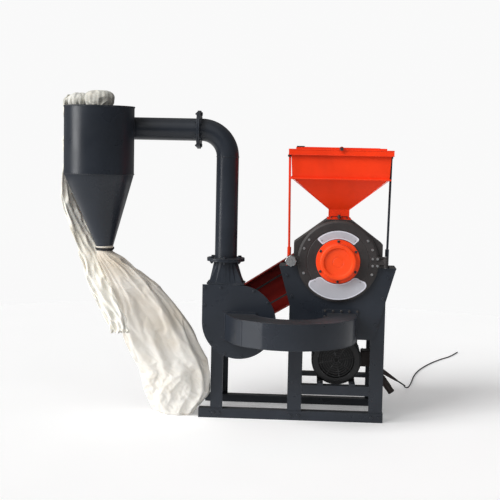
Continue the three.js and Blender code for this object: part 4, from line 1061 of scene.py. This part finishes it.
def add_motor():
    front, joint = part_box("fan_cowl")[0].y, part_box("fan_cowl")[1].y
    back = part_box("motor_body")[1].y
    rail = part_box("motor_slide_base")[1].z + CLEARANCE
    feet = [(x, y) for x in MOTOR_FEET_X for y in (front + 0.092, back - 0.075)]
    add_motor_frame(joint, back, rail, feet)
    add_motor_cowl(front, joint)
    add_motor_fasteners(joint, back, rail, feet)


def add_motor_frame(joint, back, rail, feet):
    fins, root = 44, MOTOR_R - 0.013
    fin = ((0.10, root), (0.30, MOTOR_R - 0.001), (0.42, MOTOR_R), (0.54, MOTOR_R - 0.001), (0.74, root))
    outline = [polar(MOTOR, radius, 360 * (i + share) / fins) for i in range(fins) for share, radius in fin]
    shape = Shape()
    shape.prism("y", outline, (joint + CLEARANCE, back - 0.030))
    shape.turned("y", MOTOR, [
        (0.022, back - 0.034), (MOTOR_R - 0.006, back - 0.034), (MOTOR_R - 0.004, back - 0.032),
        (MOTOR_R - 0.004, back - 0.018), (MOTOR_R - 0.008, back - 0.013), (0.078, back - 0.008),
        (0.066, back - 0.001), (0.062, back), (0.040, back), (0.037, back - 0.004),
        (0.022, back - 0.004)], 96)
    for x, y in feet:
        shape.block((x - 0.016, y - 0.020, rail), (x + 0.016, y + 0.020, rail + 0.014))
        shape.block((x - 0.006, y - 0.016, rail + 0.010), (x + 0.006, y + 0.016, MOTOR_Z - 0.050))
    shape.done("motor_frame", "motor_paint", smooth=30, node="motor_body")


def add_motor_cowl(front, joint):
    """The fan's cover: a rounded shell, and a grille of rings on eight spokes."""
    edge = 0.012
    profile = [(MOTOR_R - 0.003, joint), (MOTOR_R, joint)]
    profile += ring_points((MOTOR_R - edge, front + edge), edge, 6, 0, -90)
    profile += [(0.098, front), (0.098, front + 0.003), (MOTOR_R - 0.015, front + 0.003),
                (MOTOR_R - 0.003, front + 0.014)]
    shell = Shape()
    shell.turned("y", MOTOR, profile, 128)
    for radius in (0.014 + 0.012 * i for i in range(8)):
        shell.turned("y", MOTOR, [(radius - 0.002, front + 0.0004), (radius + 0.002, front + 0.0004),
                                  (radius + 0.002, front + 0.003), (radius - 0.002, front + 0.003)], 96)
    for spoke in range(8):
        turn = 45 * spoke + math.degrees(0.2)
        ends = [polar(MOTOR, reach, turn) for reach in (0.012, 0.100)]
        shell.sweep([(x, front + 0.0028, z) for x, z in ends], 0.0022, 8)
    shell.done("motor_cowl", "motor_paint", smooth=30, node="fan_cowl")


def add_motor_fasteners(joint, back, rail, feet):
    """End-shield bolts, cowl screws, a lifting eye and the feet's bolts."""
    extras = Shape()
    extras.bolt_circle("y", MOTOR, MOTOR_R - 0.013, back - 0.013, REARWARD, 0.0062, 4, 45)
    for x, z in ring_points(MOTOR, MOTOR_R - 0.0002, 3, 30, 390):
        extras.bolt((x, joint - 0.012, z), (x - MOTOR_X, 0, z - MOTOR_Z), 0.0045)
    eye_r = 0.013
    eye = circle_path("y", (MOTOR_X, MOTOR_Z + MOTOR_R + eye_r), eye_r, (joint + back) / 2, 28)
    extras.sweep(eye, 0.0035, 10, closed=True)
    for x, y in feet:
        extras.bolts([(x, y - 0.013, rail + 0.014), (x, y + 0.013, rail + 0.014)], UP, 0.0055)
    extras.done("motor_fasteners", "bright_steel", smooth=30)


def add_bearing(covers, fittings, centre, y, way, radii, depth, sides, screws):
    """A bearing cover facing one way along Y, and its ring of screws."""
    bore, rim, radius = radii
    circle, size, count, start = screws
    near, far = sorted((y, y + way * depth))
    covers.turned("y", centre, [(bore, near), (rim, near), (radius, near + 0.002), (radius, far - 0.002),
                                (rim, far), (bore, far)], sides)
    fittings.bolt_circle("y", centre, circle, y + way * depth, (0, way, 0), size, count, start)


def add_pedestal_details():
    """Bearing covers, grease nipples and holding bolts."""
    covers = Shape()
    fittings = Shape()
    for y, way in ((FRONT + 0.162, -1), (FRONT + 0.384, 1)):
        add_bearing(covers, fittings, MILL, y, way, (0.0265, 0.058, 0.062), 0.008, 72, (0.050, 0.005, 6, 30))
    nipples = [(MILL_X, y, MILL_Z + 0.070) for y in (FRONT + 0.177, FRONT + 0.369)]
    fittings.bolts(nipples, UP, 0.0045, True)
    low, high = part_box("mill_bearing_pedestal")
    fittings.bolts([(MILL_X + x, y, low.z + 0.014) for x in (-0.20, -0.12, 0.12, 0.20)
                    for y in (low.y + 0.03, high.y - 0.03)], UP, 0.009)
    for y, way in ((FRONT + 0.060, -1), (FRONT + 0.330, 1)):
        add_bearing(covers, fittings, FAN, y, way, (0.0185, 0.036, 0.039), 0.007, 64, (0.030, 0.0038, 4, 45))
        fittings.bolt((FAN_X, y - way * 0.025, FAN_Z + 0.042), UP, 0.004, True)
    low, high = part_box("blower_bearing_pedestal")
    fittings.bolts([(FAN_X + x, y, low.z + 0.010) for x in (-0.047, 0.047)
                    for y in (low.y + 0.022, low.y + 0.166, high.y - 0.022)], UP, 0.0065)
    covers.done("bearing_covers", "cast_iron", smooth=30)
    fittings.done("bearing_fasteners", "bright_steel", smooth=30)


# ------------------------------------------------------------------ hopper and stand details
def rectangle(half_x, half_y, z):
    """Corners round the hopper's middle, in order."""
    signs = ((-1, -1), (1, -1), (1, 1), (-1, 1))
    return [(MILL_X + sx * half_x, HOPPER_Y + sy * half_y, z) for sx, sy in signs]


def rounded_loop(left, right, near, far, corner, z):
    """A rectangle in plan with round corners."""
    middles = ((right - corner, far - corner, 0), (left + corner, far - corner, 90),
               (left + corner, near + corner, 180), (right - corner, near + corner, 270))
    points = [p for x, y, turn in middles for p in ring_points((x, y), corner, 5, turn, turn + 90)]
    return [Vector((x, y, z)) for x, y in points]


def add_hopper_details():
    """Rolled edges round the rim and the skirt, seam welds and rivets."""
    folds = Shape()
    roll = 0.0028
    half = 0.265 - 0.4 * roll
    near, far = HOPPER_Y - 0.2026, HOPPER_Y + 0.203 - 0.4 * roll
    for z in (HOPPER_TOP - 0.0024, HOPPER_TOP - 0.0280):
        folds.sweep(rounded_loop(MILL_X - half, MILL_X + half, near, far, 0.010, z), roll, 10, closed=True)
    skirt = rounded_loop(MILL_X - 0.252, MILL_X + 0.252, HOPPER_Y - 0.190, HOPPER_Y + 0.190, 0.006,
                         HOPPER_SKIRT_Z + 0.0002)
    folds.sweep(skirt, 0.0042, 10, closed=True)
    folds.done("hopper_folds", "orange_paint", smooth=50)

    welds = Shape()
    feet = rectangle(0.052, 0.052, HOPPER_NECK_Z)
    for foot, top in zip(feet, rectangle(0.246, 0.178, HOPPER_SKIRT_Z)):
        welds.bead([foot, top], 0.0018)
        welds.bead([(foot[0], foot[1], 1.073), foot], 0.0016)
    welds.bead([(x, y, z + 0.0005) for x, y, z in feet], 0.0016, True)
    welds.done("hopper_welds", "orange_paint", smooth=60)

    rivets = Shape()
    for x in (MILL_X - 0.225 + i * 0.075 for i in range(7)):
        for way in (-1, 1):
            y = HOPPER_Y + way * 0.191
            span = sorted((y - way * 0.0005, y + way * 0.0045))
            rivets.disc("y", (x, HOPPER_SKIRT_Z), 0.0032, span, 16, 0.0008)
    rivets.done("hopper_rivets", "orange_paint", smooth=50)


def add_lid_details():
    """A front knob, two pressed ribs, a black block at the front left corner and the hinge straps' screws.
    """
    low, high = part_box("hopper_lid")
    front, end = low.y - 0.0005, low.y + 0.016
    knob = Shape().turned("y", (MILL_X, HOPPER_TOP + 0.004), [
        (0.0, front), (0.009, front), (0.0118, low.y + 0.003), (0.0118, low.y + 0.011), (0.009, end),
        (0.0, end)], 36)
    knob.done("lid_knob", "cast_iron", "lid", smooth=40)
    ribs = Shape()
    for y in (HOPPER_Y - 0.10, HOPPER_Y + 0.10):
        ribs.block((MILL_X - 0.20, y - 0.008, LID_TOP - 0.001), (MILL_X + 0.20, y + 0.008, LID_TOP + 0.0022))
    ribs.done("lid_ribs", "orange_paint", "lid", bevel=0.0015)
    # A black block of the belts' rubber on the lid's front left corner.
    dark_block = Shape()
    dark_block.block((MILL_X - 0.226, HOPPER_Y - 0.189, LID_TOP + 0.0002),
              (MILL_X - 0.186, HOPPER_Y - 0.150, LID_TOP + 0.006))
    dark_block.done("lid_dark_block", "belt_rubber", "lid", bevel=0.0015)
    places = [(MILL_X + x, high.y - 0.045, LID_TOP) for x in (-0.198, -0.183, 0.102, 0.117)]
    Shape().bolts(places, UP, 0.0042).done("lid_screws", "bright_steel", "lid", smooth=30)


def add_stay_details():
    """Clips and nuts at the two stays' feet and tops."""
    clips = Shape()
    y = FRONT + 0.032
    for side, outer in ((-1, 0.012), (1, 0.010)):
        foot, top = MILL_X + side * 0.254, MILL_X + side * 0.2605
        clips.bolts([(foot - 0.009, y - 0.012, 0.824), (foot + 0.009, y - 0.012, 0.824)], UP, 0.0035)
        clips.block((top - 0.012, y - 0.010, 1.384), (top + outer, y + 0.010, 1.3945))
    clips.done("stay_clips", "cast_iron", smooth=30, bevel=0.0008)


def add_stand_details():
    """Welds where the rails meet the legs, and bolts through the feet."""
    welds = Shape()
    bolts = Shape()
    for side in ("left", "middle", "right"):
        low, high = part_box(f"{side}_leg_frame")
        for y, way in ((FRONT, -1), (BACK, 1)):
            welds.bead([(low.x, y + way * 0.0006, 0.0505), (high.x, y + way * 0.0006, 0.0505)], 0.0026)
            bolts.bolts([(x, y, 0.028) for x in (low.x + 0.016, high.x - 0.016)], (0, way, 0), 0.0085)
        if side != "left":
            welds.bead([(low.x, BACK + 0.0004, 0.62), (low.x, BACK + 0.0004, high.z - 0.02)], 0.0012)
    for node in ("blower_rail_front", "blower_rail_rear", "motor_rail_front", "motor_rail_rear"):
        low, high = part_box(node)
        y = low.y if node.endswith("front") else high.y
        for x in (low.x, high.x):
            welds.bead([(x, y, low.z), (x, y, high.z)], 0.0022)
    welds.done("stand_welds", "slate_paint", smooth=60)
    slide_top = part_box("motor_slide_base")[1].z
    bolts.bolts([(x, y, slide_top) for x in MOTOR_FEET_X for y in (FRONT + 0.022, BACK - 0.022)], UP, 0.008)
    hood = ((0.262, 0.770), (0.236, 0.660), (0.205, 0.520))
    bolts.bolts([(MILL_X + side * x, FRONT - PLATE - CLEARANCE, z) for x, z in hood for side in (-1, 1)],
                FORWARD, 0.0075)
    bolts.done("stand_bolts", "slate_paint", smooth=30)


def add_terminal_details():
    """The terminal box's lid with its screws, and ridges round the stub that the cable leaves by."""
    low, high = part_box("terminal_box")
    x0, x1 = low.x, MILL_X + 0.246
    y0, y1 = FRONT + 0.138, FRONT + 0.222
    top = high.z + 0.006
    lid = Shape()
    lid.block((x0 + 0.001, y0 + 0.001, high.z + CLEARANCE), (x1 - 0.001, y1 - 0.001, top))
    lid.done("terminal_lid", "dark_plastic", bevel=0.002)
    places = [(x, y, top) for x in (x0 + 0.010, x1 - 0.010) for y in (y0 + 0.010, y1 - 0.010)]
    Shape().bolts(places, UP, 0.0034).done("terminal_screws", "bright_steel", smooth=30)

    start = Vector((MILL_X + 0.204, FRONT + 0.180, 0.280))
    end = Vector((MILL_X + 0.313, FRONT + 0.180, 0.128))
    along = (end - start).normalized()
    rings = Shape()
    for share, half in [*((0.52 + 0.05 * i, 0.0028) for i in range(7)), (0.975, 0.002)]:
        spot = start.lerp(end, share)
        path = [spot + along * half * step for step in (-1, -0.5, 0.5, 1)]
        rings.sweep(path, lambda s: 0.0198 if 0.2 < s < 0.8 else 0.0185, 40)
    rings.done("stub_rings", "dark_plastic", smooth=40)


# ------------------------------------------------------------------ cloth
def grid_cloth(name, rings, girth, material):
    """A tube of cloth from rings of equal count, with its weave laid along it in metres."""
    data = bpy.data.meshes.new(name)
    count = len(rings[0])
    faces = []
    for r in range(len(rings) - 1):
        for i in range(count):
            j = (i + 1) % count
            faces.append((r * count + i, r * count + j, (r + 1) * count + j, (r + 1) * count + i))
    data.from_pydata([p for ring in rings for p in ring], [], faces)
    layer = data.uv_layers.new(name="cloth")
    for polygon in data.polygons:
        last = polygon.index % count == count - 1
        for loop, vertex in zip(polygon.loop_indices, polygon.vertices):
            ring, spot = divmod(vertex, count)
            if last and spot == 0:
                spot = count
            layer.data[loop].uv = (girth * spot / count, ring * 0.008)
    piece = bpy.data.objects.new(name, data)
    bpy.context.scene.collection.objects.link(piece)
    data.materials.append(MATERIALS[material])
    data.shade_smooth()
    return piece


def between(sections, share):
    """A section's values at a share of the way along a list of sections, on a smooth curve."""
    place = share * (len(sections) - 1)
    i = min(int(place), len(sections) - 2)
    t = place - i
    ends = [sections[max(0, i - 1)], sections[i], sections[i + 1], sections[min(len(sections) - 1, i + 2)]]
    values = []
    for p, q, r, s in zip(*ends):
        square = 2 * p - 5 * q + 4 * r - s
        cube = 3 * q - p - 3 * r + s
        values.append(0.5 * (2 * q + (r - p) * t + square * t * t + cube * t ** 3))
    return values


def ramp(value, low, high):
    """From 0 at low to 1 at high, and level outside them."""
    return min(1.0, max(0.0, (value - low) / (high - low)))


def crease(point, scale, seed):
    """A ridged noise from -1 to 1 whose sharp valleys read as creases."""
    value = noise.noise(Vector(point) * scale + Vector((seed, 2.3 * seed, -seed)))
    return 1 - 4 * abs(value)


# The collecting sack from the tie down: centre X and Y from the mill's shaft and the stand's front,
# height, half width and half depth.
SACK = [
    (-1.186, -0.190, 0.918, 0.0435, 0.0435), (-1.186, -0.190, 0.904, 0.0440, 0.0440),
    (-1.186, -0.190, 0.889, 0.0400, 0.0400), (-1.159, -0.187, 0.860, 0.067, 0.050),
    (-1.117, -0.184, 0.824, 0.094, 0.063), (-1.068, -0.165, 0.760, 0.119, 0.077),
    (-1.018, -0.135, 0.680, 0.145, 0.091), (-0.970, -0.108, 0.590, 0.172, 0.100),
    (-0.945, -0.084, 0.507, 0.188, 0.108), (-0.921, -0.055, 0.418, 0.194, 0.112),
    (-0.877, -0.020, 0.322, 0.193, 0.112), (-0.851, 0.004, 0.255, 0.188, 0.110),
    (-0.843, 0.022, 0.198, 0.181, 0.108), (-0.838, 0.042, 0.133, 0.170, 0.104),
    (-0.848, 0.060, 0.060, 0.130, 0.088), (-0.846, 0.068, 0.022, 0.098, 0.072),
    (-0.844, 0.072, 0.006, 0.060, 0.046), (-0.844, 0.072, 0.004, 0.012, 0.010),
]


def sack_folds(point, turn, share):
    """How far the sack's cloth stands out at a point: pleats that run down from the tie, long
    hanging folds and small crumples further down."""
    c, s = math.cos(turn), math.sin(turn)
    free = ramp(share, 0.13, 0.21) * min(1.0, (1 - share) / 0.05)
    slack = ramp(share, 0.45, 0.70)
    pleated = 1 - ramp(share, 0.10, 0.52)
    pleats = math.sin(13 * turn + 1.4 * math.sin(3 * turn) + 2.2 * share)
    pleats += 0.55 * math.sin(23 * turn + 2.0 * math.cos(2 * turn) - 3.0 * share)
    long_crease = crease((c * 0.16 + share * 0.1, s * 0.16, point.z * 0.35), 9.0, 4.0)
    hanging = math.sin(7 * turn + 1.7 * math.sin(2 * turn + 1) + 1.5 * share)
    crumple = crease(point, 19.0, 7.0) + 0.5 * crease(point, 41.0, 11.0)
    loose = 0.0060 * long_crease + 0.0042 * slack * hanging + 0.0018 * crumple * slack - 0.004
    return free * (0.0052 * pleated * pleats + loose)


def add_sack():
    around, down = 168, 190
    rings = []
    for share in (r / down for r in range(down + 1)):
        x, y, z, half_x, half_y = between(SACK, share)
        centre = Vector((MILL_X + x, FRONT + y, z))
        ring = []
        for turn in (TAU * i / around for i in range(around)):
            c, s = math.cos(turn), math.sin(turn)
            point = centre + Vector((half_x * c, half_y * s, 0))
            outward = Vector((c * half_y, s * half_x, 0)).normalized()
            ring.append(point + outward * sack_folds(point, turn, share))
        rings.append(ring)
    sack = grid_cloth("meal_sack", rings, 1.0, "woven_cloth")
    relax_cloth(sack, 0.86, 1.022, 0.030, 0.9)
    finish_cloth(sack)
    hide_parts("collecting_sack")


def finish_cloth(piece):
    """One subdivision, and a place on the frame."""
    finer = piece.modifiers.new("finer", "SUBSURF")
    finer.levels = finer.render_levels = 1
    apply_modifiers(piece)
    piece.data.shade_smooth()
    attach(piece, "root")


def relax_cloth(piece, free_below, growth, most, pressure):
    """Lets the cloth buckle into folds: it is a little larger than its shape, held at its top
    edge, puffed by light pressure, and no point may move further than the cap."""
    start = [v.co.copy() for v in piece.data.vertices]
    held = piece.vertex_groups.new(name="held")
    held.add([v.index for v in piece.data.vertices if v.co.z > free_below], 1.0, "REPLACE")
    cloth = piece.modifiers.new("cloth", "CLOTH")
    settings = cloth.settings
    settings.quality = 6
    settings.mass = 0.25
    settings.tension_stiffness = settings.compression_stiffness = 18
    settings.shear_stiffness = 6
    settings.bending_stiffness = 0.6
    settings.use_pressure = True
    settings.uniform_pressure_force = pressure
    settings.shrink_min = settings.shrink_max = 1 - growth
    settings.vertex_group_mass = "held"
    settings.effector_weights.gravity = 0.0
    cloth.collision_settings.use_collision = False
    steps = 20
    cloth.point_cache.frame_start = 1
    cloth.point_cache.frame_end = steps
    scene = bpy.context.scene
    for step in range(1, steps + 1):
        scene.frame_set(step)
    graph = bpy.context.evaluated_depsgraph_get()
    moved = piece.evaluated_get(graph).data
    ends = [v.co.copy() for v in moved.vertices]
    piece.modifiers.clear()
    for vertex, first, last in zip(piece.data.vertices, start, ends):
        shift = last - first
        if shift.length > most:
            shift *= most / shift.length
        vertex.co = first + shift
    piece.vertex_groups.clear()
    scene.frame_set(1)


# The filter sock's tube, from the cap down: centre X and Y, height, half width, half thickness
# and heading in degrees.
SOCK_TUBE = [
    (-1.366, -0.095, 1.676, 0.036, 0.014, 55), (-1.384, -0.076, 1.645, 0.055, 0.019, 55),
    (-1.387, -0.075, 1.560, 0.054, 0.017, 55), (-1.386, -0.074, 1.430, 0.054, 0.018, 55),
    (-1.385, -0.074, 1.300, 0.053, 0.018, 55), (-1.382, -0.080, 1.142, 0.053, 0.018, 50),
    (-1.336, -0.100, 1.010, 0.051, 0.018, 35), (-1.280, -0.125, 0.885, 0.050, 0.018, 20),
    (-1.244, -0.160, 0.785, 0.053, 0.018, 10), (-1.206, -0.190, 0.700, 0.055, 0.017, 5),
    (-1.150, -0.222, 0.610, 0.056, 0.016, 0), (-1.112, -0.234, 0.532, 0.050, 0.014, 0),
    (-1.096, -0.238, 0.490, 0.044, 0.014, 0),
]

# The gathered cloth over the outlet, as two lobes: one is tied round the outlet tube, the other is
# the bunch at its left. Each has its middle, its flat side, a seed for its folds, and from the tie
# up to the crown, where the cloth closes, its height, half width and half depth.
SOCK_LOBES = {
    "sock_gather": ((-1.219, -0.190), 0.22, 4.2, [
        (1.6225, 0.0655, 0.0655), (1.632, 0.070, 0.070), (1.645, 0.0735, 0.0735), (1.665, 0.0745, 0.0745),
        (1.680, 0.069, 0.069), (1.690, 0.057, 0.057), (1.6965, 0.036, 0.036), (1.6985, 0.004, 0.004)]),
    "sock_bunch": ((-1.330, -0.142), 0.18, 1.7, [
        (1.6195, 0.046, 0.042), (1.627, 0.055, 0.051), (1.640, 0.060, 0.056), (1.657, 0.060, 0.056),
        (1.670, 0.054, 0.050), (1.680, 0.042, 0.038), (1.6865, 0.024, 0.022), (1.688, 0.003, 0.003)]),
}


def add_sock_tube():
    around, down = 64, 200
    rings = []
    for share in (r / down for r in range(down + 1)):
        x, y, z, wide, thick, heading = between(SOCK_TUBE, share)
        a = math.radians(heading)
        centre = Vector((MILL_X + x, FRONT + y, z))
        side = Vector((math.cos(a), math.sin(a), 0))
        out = Vector((-math.sin(a), math.cos(a), 0))
        ragged = ramp(share, 0.80, 1.0)
        along = 3.2 * share
        ring = []
        for turn in (TAU * i / around for i in range(around)):
            c, s = math.cos(turn), math.sin(turn)
            point = centre + side * (wide * c) + out * (thick * s)
            folds = 0.0045 * math.sin(5 * turn + 9 * along) + 0.0035 * math.sin(9 * turn - 14 * along + 1)
            folds += 0.0050 * crease((c * 0.1, s * 0.05, z), 15.0, 3.0)
            folds += 0.0075 * ragged * math.sin(11 * turn + 34 * share)
            drop = 0.022 * ragged * ragged * noise.noise(Vector((3 * c, 3 * s, 1.7)))
            direction = (side * (c * thick) + out * (s * wide)).normalized()
            ring.append(point + direction * (folds - 0.003) + Vector((0, 0, drop)))
        rings.append(ring)
    tube = grid_cloth("sock_tube", rings, 0.24, "sock_cloth")
    relax_cloth(tube, 1.62, 1.015, 0.010, 0.15)
    finish_cloth(tube)
    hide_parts("filter_sock")


def add_sock_lobe(name, centre, flat_side, seed, sections):
    """A bag closed at its crown, whose pleats run up from the tie and die out on top."""
    around, up = 150, 60
    middle_x, middle_y = MILL_X + centre[0], FRONT + centre[1]
    rings = []
    for share in (r / up for r in range(up + 1)):
        z, half_x, half_y = between(sections, share)
        crown = min(1.0, half_x / 0.04)
        ring = []
        for turn in (TAU * i / around for i in range(around)):
            c, s = math.cos(turn), math.sin(turn)
            pleats = math.sin(11 * turn + seed + 2.5 * share) + 0.6 * math.sin(19 * turn - 3 * share + seed)
            folds = 0.0021 * pleats * (1 - 0.6 * share) + 0.0026 * crease((c, s, 1.4 * share), 1.9, seed)
            reach = 1 + crown * (folds - 0.0022) / max(half_x, 0.02)
            lift = 0.0030 * crown * crease((c * half_x, s * half_x, 0.0), 26.0, seed + 1) - 0.0030
            ring.append(Vector((middle_x + half_x * reach * c, middle_y + half_y * reach * s,
                                z + lift * share)))
        rings.append(ring)
    lobe = grid_cloth(name, rings, 0.42, "sock_cloth")
    finish_cloth(lobe)


def add_tie():
    """A cord wound three times round the sack's neck."""
    mouth = Vector((CYCLONE_X + MOUTH_SHIFT, CYCLONE_Y, MOUTH_Z + 0.016))
    per_turn = 40
    route = []
    for i in range(3 * per_turn):
        turn = TAU * i / per_turn
        radius = MOUTH_R + 0.0066 + 0.0008 * math.sin(5 * turn)
        drop = 0.0032 * i / per_turn
        route.append(mouth + Vector((radius * math.cos(turn), radius * math.sin(turn), -drop)))
    Shape().sweep(route, 0.0019, 8).done("sack_tie", "cable_rubber", smooth=60)


# ------------------------------------------------------------------ stage
def add_surroundings():
    """Surroundings that light the object dimly, behind a backdrop that looks brighter."""
    world = bpy.data.worlds.new("studio")
    bpy.context.scene.world = world
    world.use_nodes = True
    tree = world.node_tree
    output = next(node for node in tree.nodes if node.type == "OUTPUT_WORLD")
    choice = tree.nodes.new("ShaderNodeMixShader")
    seen = tree.nodes.new("ShaderNodeLightPath")
    tree.links.new(seen.outputs["Is Camera Ray"], choice.inputs["Fac"])
    for strength, socket in ((SURROUNDINGS, 1), (BACKDROP, 2)):
        shade = tree.nodes.new("ShaderNodeBackground")
        shade.inputs["Strength"].default_value = strength
        shade.inputs["Color"].default_value = (1, 1, 1, 1)
        tree.links.new(shade.outputs[0], choice.inputs[socket])
    tree.links.new(choice.outputs[0], output.inputs["Surface"])


def add_floor():
    """A round pale floor that glows a little, so that it meets the backdrop without an edge."""
    sides = 96
    data = bpy.data.meshes.new("floor")
    data.from_pydata(circle_path("z", (0, 0), FLOOR_R, 0, sides), [], [range(sides)])
    floor = bpy.data.objects.new("floor", data)
    bpy.context.scene.collection.objects.link(floor)
    n = Nodes("floor")
    pale = n.mix(n.ramp(n.noise(2), 0.3, 0.7), rgb(246, 246, 246), rgb(243, 243, 243))
    data.materials.append(n.finish(pale, 0.9, Specular_IOR_Level=0.0, Emission_Color=(1, 1, 1, 1),
                                   Emission_Strength=FLOOR_GLOW))


def add_lights():
    """A soft key and a low side light from the left, and a weak fill from the front."""
    for name, towards, power, spread in SUNS:
        data = bpy.data.lights.new(name, "SUN")
        data.energy = power
        data.angle = math.radians(spread)
        lamp = bpy.data.objects.new(name, data)
        lamp.rotation_euler = Vector(towards).to_track_quat("-Z", "Y").to_euler()
        bpy.context.scene.collection.objects.link(lamp)
    bpy.context.scene.view_settings.view_transform = "Standard"


MATERIALS = make_materials()
add_camera()
add_cable()
add_surroundings()
add_floor()
add_lights()
dress_kept_nodes()
add_cyclone()
add_riser()
add_transition_details()
add_blower()
add_duct()
add_door()
add_hub_cap()
add_blank_plates()
add_clamp()
add_housing_details()
add_belts()
add_pulleys()
add_guard()
add_motor()
add_pedestal_details()
add_hopper_details()
add_lid_details()
add_stay_details()
add_stand_details()
add_terminal_details()
add_sack()
add_sock_tube()
for lobe_name, lobe_values in SOCK_LOBES.items():
    add_sock_lobe(lobe_name, *lobe_values)
add_tie()
